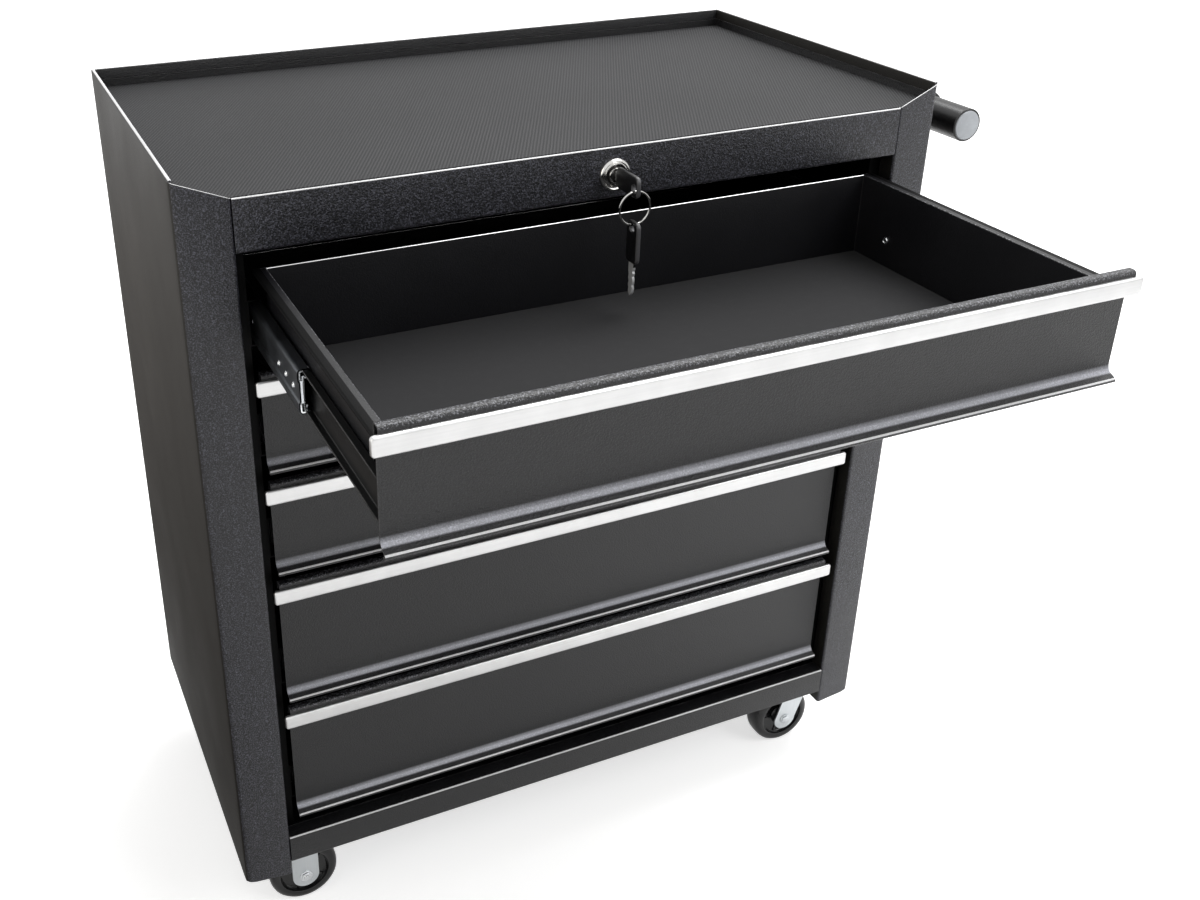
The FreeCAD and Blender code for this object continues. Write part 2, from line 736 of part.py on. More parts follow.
# Push handle: a tube along the right side in two clamping brackets, closed by end caps
def handle():
    start = "handle_inset"
    end = "cabinet_depth - handle_inset"
    length = "cabinet_depth - 2 * handle_inset"
    tube = rod("handle_round", "y", (HANDLE_X, start, HANDLE_HEIGHT), length, "handle_radius")
    bore = rod("handle_bore", "y", (HANDLE_X, f"{start} - 1", HANDLE_HEIGHT), f"{length} + 2",
               "handle_radius - handle_wall")
    settle(cut("handle_tube", tube, bore), "handle_bar")

    caps = [
        rod("cap_front", "y", (HANDLE_X, f"{start} - cap_proud", HANDLE_HEIGHT), "cap_depth", "cap_radius"),
        rod("cap_rear", "y", (HANDLE_X, f"{end} + cap_proud - cap_depth", HANDLE_HEIGHT),
            "cap_depth", "cap_radius"),
    ]
    settle(group("caps", caps), "handle_end_caps")

    items = []
    for word, middle in (("front", "bracket_inset"), ("rear", "cabinet_depth - bracket_inset")):
        low = f"{middle} - bracket_width / 2"
        high = f"{middle} + bracket_width / 2"
        foot = (f"{HANDLE_HEIGHT} - bracket_foot / 2", f"{HANDLE_HEIGHT} + bracket_foot / 2")
        plate = box(f"bracket_{word}_plate", (HALF, f"{HALF} + bracket_plate"), (low, high), foot)
        arm = box(f"bracket_{word}_arm", (HALF, HANDLE_X), (low, high),
                  (f"{HANDLE_HEIGHT} - handle_radius / 2", f"{HANDLE_HEIGHT} + handle_radius / 2"))
        clamp = rod(f"bracket_{word}_clamp", "y", (HANDLE_X, low, HANDLE_HEIGHT), "bracket_width",
                    "handle_radius + bracket_wall")
        seat = rod(f"bracket_{word}_seat", "y", (HANDLE_X, f"{low} - 1", HANDLE_HEIGHT),
                   "bracket_width + 2", "handle_radius + clamp_fit")
        items.append(cut(f"bracket_{word}", fuse(f"bracket_{word}_blank", [plate, arm, clamp]), seat))
        for sign in (-1, 1):
            place = (f"{HALF} + bracket_plate", middle,
                     f"{HANDLE_HEIGHT} + {sign} * (bracket_foot / 2 - 2 * screw_radius)")
            items.append(rod(f"bracket_{word}_screw_{sign + 1}", "x", place, "screw_height", "screw_radius"))
    settle(group("brackets", items), "handle_brackets")


def plate(name, x, y):
    """Top plate of a caster with its four bolt holes."""
    blank = box(name + "_blank", (f"{x} - plate_length / 2", f"{x} + plate_length / 2"),
                (f"{y} - plate_width / 2", f"{y} + plate_width / 2"),
                ("base_underside - plate_sheet", "base_underside"))
    return cut(name + "_plate", blank, group(name + "_plate_holes", bolt_holes(name + "_hole", x, y)))


def axle(name, x, y):
    """Axle with a round head at each end, lying along y."""
    reach = "(fork_gap / 2 + fork_sheet)"
    solids = [
        rod(name + "_pin", "y", (x, f"{y} - {reach}", AXLE_HEIGHT), f"2 * {reach}", "axle_radius"),
        rod(name + "_head", "y", (x, f"{y} - {reach} - axle_head_height", AXLE_HEIGHT),
            "axle_head_height", "axle_head"),
        rod(name + "_nut", "y", (x, f"{y} + {reach}", AXLE_HEIGHT), "axle_head_height", "axle_head"),
    ]
    return fuse(name + "_axle", solids)


def fork_legs(name, top, x, y, wide_top, centre_top):
    """Two legs from a plate or crown down to the axle, rounded below it."""
    solids = []
    for sign in (-1, 1):
        near = "fork_gap / 2"
        far = "fork_gap / 2 + fork_sheet"
        low, high = mirrored(sign, near, far)
        body = new_body(f"{name}_leg_{sign + 1}")
        section = [
            (f"{centre_top} - {wide_top} / 2", top),
            (f"{centre_top} + {wide_top} / 2", top),
            (f"{x} + leg_width / 2", AXLE_HEIGHT),
            (f"{x} - leg_width / 2", AXLE_HEIGHT),
        ]
        pad(body, f"{name}_leg_pad_{sign + 1}", "XZ_Plane", section, f"-({y} + {high})", "fork_sheet")
        end = rod(f"{name}_end_{sign + 1}", "y", (x, f"{y} + {low}", AXLE_HEIGHT), "fork_sheet",
                  "leg_width / 2")
        solids += [body, end]
    return solids


def axle_hole(name, x, y):
    reach = "(fork_gap / 2 + fork_sheet + 1)"
    return rod(name + "_axle_hole", "y", (x, f"{y} - {reach}", AXLE_HEIGHT), f"2 * {reach}",
               "axle_radius + hole_fit")


def wheel(label, x, y):
    body = new_body(label + "_body")
    half = "wheel_width / 2"
    hub = "hub_width / 2"
    profile = [
        (f"-{hub}", "axle_radius + hole_fit"),
        (f"-{hub}", "hub_radius"),
        (f"-{half} + dish_depth", "hub_radius + 1.5"),
        (f"-{half} + dish_depth", "dish_radius"),
        (f"-{half}", "dish_radius + 2"),
        (f"-{half}", "wheel_radius - tyre_round"),
        (f"-{half} + tyre_round", "wheel_radius"),
        (f"{half} - tyre_round", "wheel_radius"),
        (half, "wheel_radius - tyre_round"),
        (half, "dish_radius + 2"),
        (f"{half} - dish_depth", "dish_radius"),
        (f"{half} - dish_depth", "hub_radius + 1.5"),
        (hub, "hub_radius"),
        (hub, "axle_radius + hole_fit"),
    ]
    sketch = outline(body, label + "_profile", "YZ_Plane", profile)
    spin = body.newObject("PartDesign::Revolution", label + "_revolution")
    spin.Profile = sketch
    spin.ReferenceAxis = (sketch, ["H_Axis"])
    spin.Angle = 360
    body.Tip = spin
    settle(body, label, (x, y, AXLE_HEIGHT))


def casters():
    under = "(base_underside - plate_sheet)"
    frames = []
    axles = []
    plates = []
    bolts = []
    for name, x, y in CASTERS:
        place = name.split("_")[1]
        for n, (px, py) in enumerate(bolt_places(x, y)):
            head = rod(f"{name}_bolt_head_{n}", "z", (px, py, f"{under} - bolt_head_height"),
                       "bolt_head_height", "bolt_head")
            shank = rod(f"{name}_bolt_shank_{n}", "z", (px, py, under), "bolt_length", "bolt_radius")
            bolts.append(fuse(f"{name}_bolt_{n}", [head, shank]))
        if name.startswith("fixed"):
            blank = fuse(name + "_blank", [plate(name, x, y)] + fork_legs(name, under, x, y, "leg_width", x))
            frames.append(cut(name + "_frame", blank, axle_hole(name, x, y)))
            axles.append(axle(name, x, y))
            wheel(f"wheel_{place}_left", x, y)
            continue
        wheel_x = f"({x} - caster_trail)"
        race = rod(name + "_race", "z", (x, y, f"{under} - race_height"), "race_height", "race_radius")
        bore = rod(name + "_bore", "z", (x, y, f"{under} - race_height - 1"), "race_height + plate_sheet + 2",
                   "kingpin_radius + kingpin_fit")
        plates.append(cut(name + "_top", fuse(name + "_top_blank", [plate(name, x, y), race]), bore))
        crown_top = f"({under} - race_height - crown_gap)"
        crown_low = f"({crown_top} - crown_sheet)"
        crown = rod(name + "_crown", "z", (x, y, crown_low), "crown_sheet", "crown_radius")
        pin = rod(name + "_kingpin", "z", (x, y, crown_low), f"base_underside - crown_gap - {crown_low}",
                  "kingpin_radius")
        legs = fork_legs(name, f"{crown_low} + crown_sheet / 2", wheel_x, y, "1.1 * leg_width", x)
        blank = fuse(name + "_fork_blank", [crown, pin] + legs)
        fork = cut(name + "_fork", blank, axle_hole(name, wheel_x, y))
        settle(group(name + "_fork_set", [fork, axle(name, wheel_x, y)]), f"swivel_fork_{place}")
        wheel(f"wheel_{place}_right", wheel_x, y)
    settle(group("fixed_frames", frames), "fixed_caster_frames")
    settle(group("fixed_axles", axles), "fixed_caster_axles")
    settle(group("swivel_plates", plates), "swivel_caster_plates")
    settle(group("bolts", bolts), "caster_bolts")


def build():
    side_panel(-1, "side_panel_left")
    side_panel(1, "side_panel_right")
    back_panel()
    worktop()
    rails()
    base_pan()
    uprights()
    outer = []
    for drawer in DRAWERS:
        drawer_tray(drawer)
        drawer_front(drawer)
        drawer_strip(drawer)
        outer += drawer_runners(drawer)
    settle(group("outer_members", outer), "outer_runners")
    lock()
    keys()
    handle()
    casters()


def check():
    doc.recompute()
    for item in doc.Objects:
        if "Invalid" in item.State or "Error" in item.State:
            raise RuntimeError(f"{item.Label} did not recompute: {item.State}")
    for item in pieces:
        if item.Shape.isNull() or not item.Shape.isValid():
            raise RuntimeError(f"{item.Label} has no valid shape")


def export():
    os.makedirs("parts", exist_ok=True)
    for item in pieces:
        item.Shape.exportStep(f"parts/{item.Label}.step")
    print(len(pieces), "pieces written")


build()
check()
export()
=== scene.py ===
"""Looks of a rolling tool cabinet with five drawers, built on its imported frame."""
import math

import bmesh
import bpy
from mathutils import Matrix, Vector


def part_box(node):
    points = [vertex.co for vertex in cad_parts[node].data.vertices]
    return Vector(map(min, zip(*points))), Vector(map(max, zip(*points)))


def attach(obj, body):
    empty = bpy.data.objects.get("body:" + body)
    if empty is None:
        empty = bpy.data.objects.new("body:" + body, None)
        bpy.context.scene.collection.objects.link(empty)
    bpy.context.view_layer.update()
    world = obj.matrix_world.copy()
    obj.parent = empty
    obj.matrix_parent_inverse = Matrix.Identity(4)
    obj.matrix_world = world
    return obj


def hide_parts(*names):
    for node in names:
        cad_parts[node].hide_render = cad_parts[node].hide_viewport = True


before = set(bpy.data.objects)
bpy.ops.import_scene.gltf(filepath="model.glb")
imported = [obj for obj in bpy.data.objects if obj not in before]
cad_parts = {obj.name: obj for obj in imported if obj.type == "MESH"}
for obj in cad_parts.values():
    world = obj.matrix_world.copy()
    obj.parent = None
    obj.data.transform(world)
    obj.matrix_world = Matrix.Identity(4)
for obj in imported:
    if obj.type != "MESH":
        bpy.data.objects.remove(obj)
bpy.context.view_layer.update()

# Layout in millimetres: x from the middle, y from the posts' front, z from the panels' bottom edge
HALF = 308.0  # half the body's width
DEPTH = 330.0  # rear of the side panels
PANEL = 618.0  # top of the side panels
SHEET = 1.0
POST = 269.5  # inner edge of the front posts
RAIL_TOP, RAIL_LOW = 602.0, 563.0
BASE_TOP, BASE_LOW = 40.0, 13.0
BACK = 328.0  # rear of the worktop pan
FRONT = 259.0  # half the drawer fronts' width
STRIP_WIDE, STRIP_TALL = 528.0, 12.5
TRAY = 249.0  # half the trays' width
TRAY_BACK = 265.0
LOCK = (13.0, 581.0)
RING = 12.5  # split ring's radius
HANGING = 2.2  # from a key's eye to the ring's wire that hangs in it
HANDLE = (358.0, 573.0)
CLAMPS = (80.0, 250.0)
AXLE = -43.0
WHEEL_LEFT, WHEEL_RIGHT, SWIVEL = -251.0, 258.0, 272.0
CASTERS = (("front", 47.0), ("rear", 283.0))
SHARP = math.radians(35)  # bends above this are edges
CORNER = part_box("side_panel_left")[0]


def place(x, y, z):
    """A point of the layout in the frame's metres."""
    return Vector((CORNER.x + (x + HALF) / 1000, CORNER.y + y / 1000, CORNER.z + z / 1000))


def layout(point):
    """A point of the frame back in the layout's millimetres."""
    away = (Vector(point) - CORNER) * 1000
    return away.x - HALF, away.y, away.z


AXES = {
    "x": lambda u, v, w: (w, u, v),
    "y": lambda u, v, w: (u, w, v),
    "z": lambda u, v, w: (u, v, w),
}


# Mesh tools
def rounded(points, radii, steps=6):
    """An open path whose corners are turned into arcs."""
    path = []
    for i, point in enumerate(points):
        here = Vector(point)
        radius = radii[i] if isinstance(radii, (list, tuple)) else radii
        if i in (0, len(points) - 1) or radius <= 0:
            path.append(here)
            continue
        back = (Vector(points[i - 1]) - here).normalized()
        ahead = (Vector(points[i + 1]) - here).normalized()
        half = back.angle(ahead) / 2
        if half > math.pi / 2 - 0.01:
            path.append(here)
            continue
        start = here + back * (radius / math.tan(half))
        end = here + ahead * (radius / math.tan(half))
        centre = here + (back + ahead).normalized() * (radius / math.sin(half))
        first, last = start - centre, end - centre
        swing = math.atan2(first.x * last.y - first.y * last.x, first.dot(last))
        for k in range(steps + 1):
            turn = Matrix.Rotation(swing * k / steps, 2)
            path.append(centre + turn @ first)
    return [p for i, p in enumerate(path) if i == 0 or (p - path[i - 1]).length > 1e-4]


def shifted(path, thickness):
    """The path moved to its left by the thickness."""
    moved = []
    for i, here in enumerate(path):
        sides = []
        if i > 0:
            sides.append((here - path[i - 1]).normalized())
        if i < len(path) - 1:
            sides.append((path[i + 1] - here).normalized())
        normals = [Vector((-s.y, s.x)) for s in sides]
        middle = sum(normals, Vector((0, 0))).normalized()
        moved.append(here + middle * (thickness / middle.dot(normals[0])))
    return moved


def strip_of(bm, rows, closed=False):
    """Quads between neighbouring rows of vertices."""
    for a, b in zip(rows, rows[1:]):
        count = len(a)
        for i in range(count if closed else count - 1):
            j = (i + 1) % count
            bm.faces.new((a[i], a[j], b[j], b[i]))


def folded(bm, path, thickness, axis, start, end, skip=()):
    """Bent sheet: the path is its outer side; start and end are numbers or functions of a path point."""
    inner = shifted(path, thickness)
    turn = AXES[axis]

    def row(points, limit):
        out = []
        for p, q in zip(points, path):
            w = limit(q) if callable(limit) else limit
            out.append(bm.verts.new(place(*turn(p.x, p.y, w))))
        return out

    outer_a, outer_b = row(path, start), row(path, end)
    inner_a, inner_b = row(inner, start), row(inner, end)
    for i in range(len(path) - 1):
        bm.faces.new((outer_a[i], outer_a[i + 1], outer_b[i + 1], outer_b[i]))
        bm.faces.new((inner_a[i + 1], inner_a[i], inner_b[i], inner_b[i + 1]))
        bm.faces.new((inner_a[i], inner_a[i + 1], outer_a[i + 1], outer_a[i]))
        if i not in skip:
            bm.faces.new((outer_b[i], outer_b[i + 1], inner_b[i + 1], inner_b[i]))
    bm.faces.new((outer_a[0], outer_b[0], inner_b[0], inner_a[0]))
    bm.faces.new((outer_b[-1], outer_a[-1], inner_a[-1], inner_b[-1]))


def slab(bm, outline, axis, start, end):
    """A solid between two flat copies of a closed outline."""
    turn = AXES[axis]
    rows = [[bm.verts.new(place(*turn(p[0], p[1], w))) for p in outline] for w in (start, end)]
    strip_of(bm, rows, closed=True)
    bm.faces.new(rows[0])
    bm.faces.new(list(reversed(rows[1])))


def bar(bm, x, y, z):
    """A box between two limits on each axis."""
    slab(bm, [(x[0], y[0]), (x[1], y[0]), (x[1], y[1]), (x[0], y[1])], "z", z[0], z[1])


def turned(bm, profile, centre, axis, segments=48, phase=0.0):
    """A solid of revolution: the profile holds (along, radius), and radius 0 is a pole."""
    rows = []
    turn = AXES[axis]
    for along, radius in profile:
        ring = []
        for k in range(1 if radius <= 0 else segments):
            a = phase + 2 * math.pi * k / segments
            step = turn(radius * math.cos(a), radius * math.sin(a), along)
            ring.append(bm.verts.new(place(*(c + d for c, d in zip(centre, step)))))
        rows.append(ring)
    for a, b in zip(rows, rows[1:]):
        for k in range(segments):
            n = (k + 1) % segments
            corners = [a[k % len(a)], a[n % len(a)], b[n % len(b)], b[k % len(b)]]
            face = list(dict.fromkeys(corners))
            if len(face) > 2:
                bm.faces.new(face)


def ring_outline(centre, radius, count, start=0.0, end=2 * math.pi, whole=True):
    """Points on a circle, or on an arc that keeps its last point."""
    steps = count if whole else count - 1
    return [
        (centre[0] + radius * math.cos(start + (end - start) * k / steps),
         centre[1] + radius * math.sin(start + (end - start) * k / steps))
        for k in range(count)
    ]


def soft_box(width, height, radius, centre, steps=5):
    """Outline of a rectangle with round corners."""
    out = []
    for sx, sy, a in ((1, 1, 0), (-1, 1, 90), (-1, -1, 180), (1, -1, 270)):
        cx = centre[0] + sx * (width / 2 - radius)
        cy = centre[1] + sy * (height / 2 - radius)
        for k in range(steps + 1):
            t = math.radians(a + 90 * k / steps)
            out.append((cx + radius * math.cos(t), cy + radius * math.sin(t)))
    return out


def flat_wire(bm, points, radius, across, sides=12):
    """A wire near the plane of x and z; radius is half its thickness in y and across half its width."""
    centres = [Vector(p) for p in points]
    rows = []
    for i, here in enumerate(centres):
        ahead, back = centres[min(i + 1, len(centres) - 1)], centres[max(i - 1, 0)]
        second = Vector((0, 1, 0))
        first = (ahead - back).normalized().cross(second).normalized() * (across / radius)
        rows.append([
            bm.verts.new(place(*(here + radius * (math.cos(a) * first + math.sin(a) * second))))
            for a in (2 * math.pi * k / sides for k in range(sides))
        ])
    strip_of(bm, rows, closed=True)
    bm.faces.new(rows[0])
    bm.faces.new(list(reversed(rows[-1])))


def row_tree():
    """Copies of one part set out along a straight line."""
    tree = bpy.data.node_groups.new("row_of_parts", "GeometryNodeTree")
    for label, kind in (("Part", "Object"), ("Finish", "Material"), ("Start", "Vector"), ("Step", "Vector"),
                        ("Count", "Int")):
        tree.interface.new_socket(label, in_out="INPUT", socket_type="NodeSocket" + kind)
    tree.interface.new_socket("Row", in_out="OUTPUT", socket_type="NodeSocketGeometry")
    given = tree.nodes.new("NodeGroupInput")
    line = tree.nodes.new("GeometryNodeMeshLine")
    part = tree.nodes.new("GeometryNodeObjectInfo")
    spread = tree.nodes.new("GeometryNodeInstanceOnPoints")
    solid = tree.nodes.new("GeometryNodeRealizeInstances")
    finish = tree.nodes.new("GeometryNodeSetMaterial")
    out = tree.nodes.new("NodeGroupOutput")
    link = tree.links.new
    link(given.outputs["Count"], line.inputs["Count"])
    link(given.outputs["Start"], line.inputs["Start Location"])
    link(given.outputs["Step"], line.inputs["Offset"])
    link(given.outputs["Part"], part.inputs["Object"])
    link(line.outputs["Mesh"], spread.inputs["Points"])
    link(part.outputs["Geometry"], spread.inputs["Instance"])
    link(spread.outputs["Instances"], solid.inputs["Geometry"])
    link(solid.outputs["Geometry"], finish.inputs["Geometry"])
    link(given.outputs["Finish"], finish.inputs["Material"])
    link(finish.outputs["Geometry"], out.inputs["Row"])
    return tree


ROW = row_tree()


def set_out(bm, seed, material, start, step=(0, 0, 0), count=1):
    """Add a row of copies of the seed, which is modelled at the layout's origin, to a mesh."""
    bmesh.ops.recalc_face_normals(seed, faces=seed.faces)
    shape = bpy.data.meshes.new("seed")
    seed.to_mesh(shape)
    part = bpy.data.objects.new("seed", shape)
    host = bpy.data.objects.new("row", bpy.data.meshes.new("row"))
    for item in (part, host):
        bpy.context.scene.collection.objects.link(item)
    rows = host.modifiers.new("row", "NODES")
    rows.node_group = ROW
    keys = {item.name: item.identifier for item in ROW.interface.items_tree if item.in_out == "INPUT"}
    rows[keys["Part"]] = part
    rows[keys["Finish"]] = material
    rows[keys["Start"]] = [v / 1000 for v in start]
    rows[keys["Step"]] = [v / 1000 for v in step]
    rows[keys["Count"]] = count
    host.update_tag()
    graph = bpy.context.evaluated_depsgraph_get()
    graph.update()
    made = bpy.data.meshes.new_from_object(host.evaluated_get(graph))
    bm.from_mesh(made)
    for item in (part, host):
        old = item.data
        bpy.data.objects.remove(item)
        bpy.data.meshes.remove(old)
    bpy.data.meshes.remove(made)


def piece(name, bm, material, body, replaces=(), bevel=0.3, lit=()):
    """Turn a mesh into a finished object on its body; lit names paints for the faces that a test picks."""
    bmesh.ops.remove_doubles(bm, verts=bm.verts, dist=1e-6)
    bmesh.ops.recalc_face_normals(bm, faces=bm.faces)
    material = list(material) if isinstance(material, (list, tuple)) else [material]
    for paint_of, test in lit:
        bm.normal_update()
        for face in bm.faces:
            if test(layout(face.calc_center_median()), face.normal):
                face.material_index = len(material)
        material.append(paint_of)
    mesh = bpy.data.meshes.new(name)
    bm.to_mesh(mesh)
    bm.free()
    mesh.shade_smooth()
    mesh.set_sharp_from_angle(angle=SHARP)
    item = bpy.data.objects.new(name, mesh)
    bpy.context.scene.collection.objects.link(item)
    for one in material:
        mesh.materials.append(one)
    if bevel:
        edge = item.modifiers.new("edges", "BEVEL")
        edge.width = bevel / 1000
        edge.segments = 2
        edge.limit_method = "ANGLE"
        edge.angle_limit = SHARP
        edge.harden_normals = True
    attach(item, body)
    if replaces:
        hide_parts(*replaces)
    return item


# Shader groups shared by the finishes
def new_group(name, inputs, outputs):
    tree = bpy.data.node_groups.new(name, "ShaderNodeTree")
    for label, kind, value in inputs:
        socket = tree.interface.new_socket(label, in_out="INPUT", socket_type=kind)
        socket.default_value = value
    for label, kind in outputs:
        tree.interface.new_socket(label, in_out="OUTPUT", socket_type=kind)
    return tree, tree.nodes.new("NodeGroupInput"), tree.nodes.new("NodeGroupOutput")


def node(tree, kind, links=None, **values):
    made = tree.nodes.new(kind)
    for key, value in values.items():
        setattr(made, key, value)
    for key, value in (links or {}).items():
        socket = made.inputs[key]
        if isinstance(value, bpy.types.NodeSocket):
            tree.links.new(value, socket)
        else:
            socket.default_value = value
    return made


def maths(tree, operation, a, b=0.0, c=0.0):
    return node(tree, "ShaderNodeMath", {0: a, 1: b, 2: c}, operation=operation).outputs[0]


def ramp(tree, value, first, last, low=0.0, high=1.0):
    """The value from first to last, spread from low to high and held at both ends."""
    names = ("Value", "From Min", "From Max", "To Min", "To Max")
    return node(tree, "ShaderNodeMapRange", dict(zip(names, (value, first, last, low, high)))).outputs[0]


def noise(tree, where, scale, detail, **more):
    """A cloudy value around a half."""
    return node(tree, "ShaderNodeTexNoise", {"Vector": where, "Scale": scale, "Detail": detail, **more}).outputs["Fac"]


def object_space(tree):
    return node(tree, "ShaderNodeTexCoord").outputs["Object"]


def grain_group():
    """Powder coat grain: a pebbled height and flecks that catch light."""
    tree, given, out = new_group(
        "powder_grain",
        [("Scale", "NodeSocketFloat", 520.0), ("Fleck Start", "NodeSocketFloat", 0.46)],
        [("Height", "NodeSocketFloat"), ("Fleck", "NodeSocketFloat"), ("Cloud", "NodeSocketFloat")],
    )
    where = object_space(tree)
    scale = given.outputs["Scale"]
    cells = node(tree, "ShaderNodeTexVoronoi", {"Vector": where, "Scale": scale, "Randomness": 1.0},
                 feature="SMOOTH_F1")
    ripple = noise(tree, where, maths(tree, "MULTIPLY", scale, 1.7), 3.0)
    height = maths(tree, "ADD", maths(tree, "MULTIPLY", cells.outputs["Distance"], 0.6),
                   maths(tree, "MULTIPLY", ripple, 0.7))
    fine = noise(tree, where, maths(tree, "MULTIPLY", scale, 1.5), 2.0)
    tree.links.new(height, out.inputs["Height"])
    tree.links.new(ramp(tree, fine, given.outputs["Fleck Start"], 0.72), out.inputs["Fleck"])
    tree.links.new(noise(tree, where, 9.0, 4.0), out.inputs["Cloud"])
    return tree


def painted_gleam_group():
    """Painted highlight on outer edges: bright on them, most where they face up, broken up by a slow noise."""
    tree, given, out = new_group(
        "painted_edge_highlight",
        [("Radius", "NodeSocketFloat", 0.0012), ("Amount", "NodeSocketFloat", 1.0)],
        [("Mask", "NodeSocketFloat")],
    )
    round_off = node(tree, "ShaderNodeBevel", {"Radius": given.outputs["Radius"]}, samples=6)
    flat = node(tree, "ShaderNodeNewGeometry")
    dot = node(tree, "ShaderNodeVectorMath", {0: round_off.outputs[0], 1: flat.outputs["Normal"]},
               operation="DOT_PRODUCT")
    bend = ramp(tree, dot.outputs["Value"], 0.995, 0.82)
    broken = ramp(tree, noise(tree, object_space(tree), 60.0, 3.0), 0.35, 0.65, 0.35)
    facing = node(tree, "ShaderNodeSeparateXYZ", {0: round_off.outputs[0]})
    # the painted highlight is kept to edges that face up, where the light falls
    upward = ramp(tree, facing.outputs["Z"], 0.15, 0.6, 0.12)
    mask = maths(tree, "MULTIPLY", maths(tree, "MULTIPLY", bend, broken), upward)
    tree.links.new(maths(tree, "MULTIPLY", mask, given.outputs["Amount"]), out.inputs["Mask"])
    return tree


def bend_group():
    """Mask for a painted sheen where a face begins to tilt up, before it lies flat."""
    tree, given, out = new_group(
        "bend_sheen",
        [("Start", "NodeSocketFloat", 0.12), ("Full", "NodeSocketFloat", 0.5), ("End", "NodeSocketFloat", 0.9)],
        [("Mask", "NodeSocketFloat")],
    )
    normal = node(tree, "ShaderNodeNewGeometry").outputs["Normal"]
    up = node(tree, "ShaderNodeSeparateXYZ", {0: normal}).outputs["Z"]
    rise = ramp(tree, up, given.outputs["Start"], given.outputs["Full"])
    fall = ramp(tree, up, 0.8, given.outputs["End"], 1.0, 0.0)
    tree.links.new(maths(tree, "MULTIPLY", rise, fall), out.inputs["Mask"])
    return tree


GRAIN = grain_group()
GLEAM = painted_gleam_group()
BEND = bend_group()


def blank(name):
    """A new material with its tree and its Principled shader."""
    material = bpy.data.materials.new(name)
    material.use_nodes = True
    tree = material.node_tree
    return material, tree, tree.nodes["Principled BSDF"]


def mixed(tree, share, a, b):
    """Two colours blended by a share."""
    made = node(tree, "ShaderNodeMix", {0: share}, data_type="RGBA")
    for socket, value in ((made.inputs[6], a), (made.inputs[7], b)):
        if isinstance(value, bpy.types.NodeSocket):
            tree.links.new(value, socket)
        else:
            socket.default_value = (*value, 1.0)
    return made.outputs[2]


def scaled(tree, colour, factor):
    """A colour made darker or lighter by a factor."""
    made = node(tree, "ShaderNodeMix", {0: 1.0, 6: colour, 7: factor}, data_type="RGBA", blend_type="MULTIPLY")
    return made.outputs[2]


def bumped(tree, shader, height, strength, distance):
    bump = node(tree, "ShaderNodeBump", {"Height": height, "Strength": strength, "Distance": distance})
    tree.links.new(bump.outputs[0], shader.inputs["Normal"])


HIGHLIGHT_GREY = (0.5, 0.5, 0.51)  # tone of the painted edge highlight


def paint(name, dark, light, rough=0.36, grain=520.0, depth=1.0, highlight_amount=0.8, shine=0.5, bend=None,
          tint=(1.0, 1.0, 1.0), flecks=0.46):
    """Powder coated sheet steel with a painted edge highlight; bend is the tone of a painted sheen where the sheet
    turns up from the face.
    """
    material, tree, shader = blank(name)
    pebbles = node(tree, "ShaderNodeGroup", node_tree=GRAIN)
    pebbles.inputs["Scale"].default_value = grain
    pebbles.inputs["Fleck Start"].default_value = flecks
    lit_edges = node(tree, "ShaderNodeGroup", node_tree=GLEAM)
    lit_edges.inputs["Amount"].default_value = highlight_amount
    tone = mixed(tree, pebbles.outputs["Fleck"], dark, light)
    if bend:
        tilt = node(tree, "ShaderNodeGroup", node_tree=BEND)
        bright = mixed(tree, pebbles.outputs["Fleck"], tuple(0.62 * c for c in bend), bend)
        tone = mixed(tree, tilt.outputs["Mask"], tone, bright)
    cloud = pebbles.outputs["Cloud"]
    shade = scaled(tree, tone, ramp(tree, cloud, 0.3, 0.7, 0.85, 1.12))
    # painted edge highlight mixed into the base colour
    tree.links.new(mixed(tree, lit_edges.outputs["Mask"], shade, HIGHLIGHT_GREY), shader.inputs["Base Color"])
    tree.links.new(ramp(tree, cloud, 0.3, 0.7, rough - 0.05, rough + 0.05), shader.inputs["Roughness"])
    bumped(tree, shader, pebbles.outputs["Height"], depth, 0.00055)
    shader.inputs["Specular IOR Level"].default_value = shine
    shader.inputs["Specular Tint"].default_value = (*tint, 1.0)
    return material


def metal(name, colour, rough, streak, axis=0, metallic=1.0):
    """Metal with fine drawn lines along one axis and a slow change of gloss."""
    material, tree, shader = blank(name)
    where = object_space(tree)
    stretch = [900.0, 900.0, 900.0]
    stretch[axis] = 12.0
    lines_at = node(tree, "ShaderNodeMapping", {"Vector": where, "Scale": tuple(stretch)})
    lines = noise(tree, lines_at.outputs[0], 1.0, 2.0)
    cloud = noise(tree, where, 45.0, 4.0)
    tone = mixed(tree, lines, tuple(c * (1 - streak) for c in colour), colour)
    shade = scaled(tree, tone, ramp(tree, cloud, 0.35, 0.65, 0.93, 1.03))
    tree.links.new(shade, shader.inputs["Base Color"])
    shader.inputs["Metallic"].default_value = metallic
    gloss = ramp(tree, cloud, 0.3, 0.7, max(rough - 0.06, 0.03), rough + 0.06)
    tree.links.new(gloss, shader.inputs["Roughness"])
    bumped(tree, shader, lines, 0.2, 0.0001)
    return material


def plastic(name, colour, rough, grain=0.0, scratch=0.3, shine=0.5):
    """Moulded plastic with light scuffs."""
    material, tree, shader = blank(name)
    where = object_space(tree)
    scuff = noise(tree, where, 110.0, 6.0, Roughness=0.7)
    paler = tuple(min(1.0, c * 1.8 + 0.01) for c in colour)
    dust = ramp(tree, scuff, 0.5, 0.75, 0.0, scratch)
    tree.links.new(mixed(tree, dust, colour, paler), shader.inputs["Base Color"])
    tree.links.new(ramp(tree, scuff, 0.35, 0.7, rough, rough + 0.12), shader.inputs["Roughness"])
    bumped(tree, shader, noise(tree, where, 1400.0, 2.0), grain, 0.0002)
    shader.inputs["Specular IOR Level"].default_value = shine
    return material


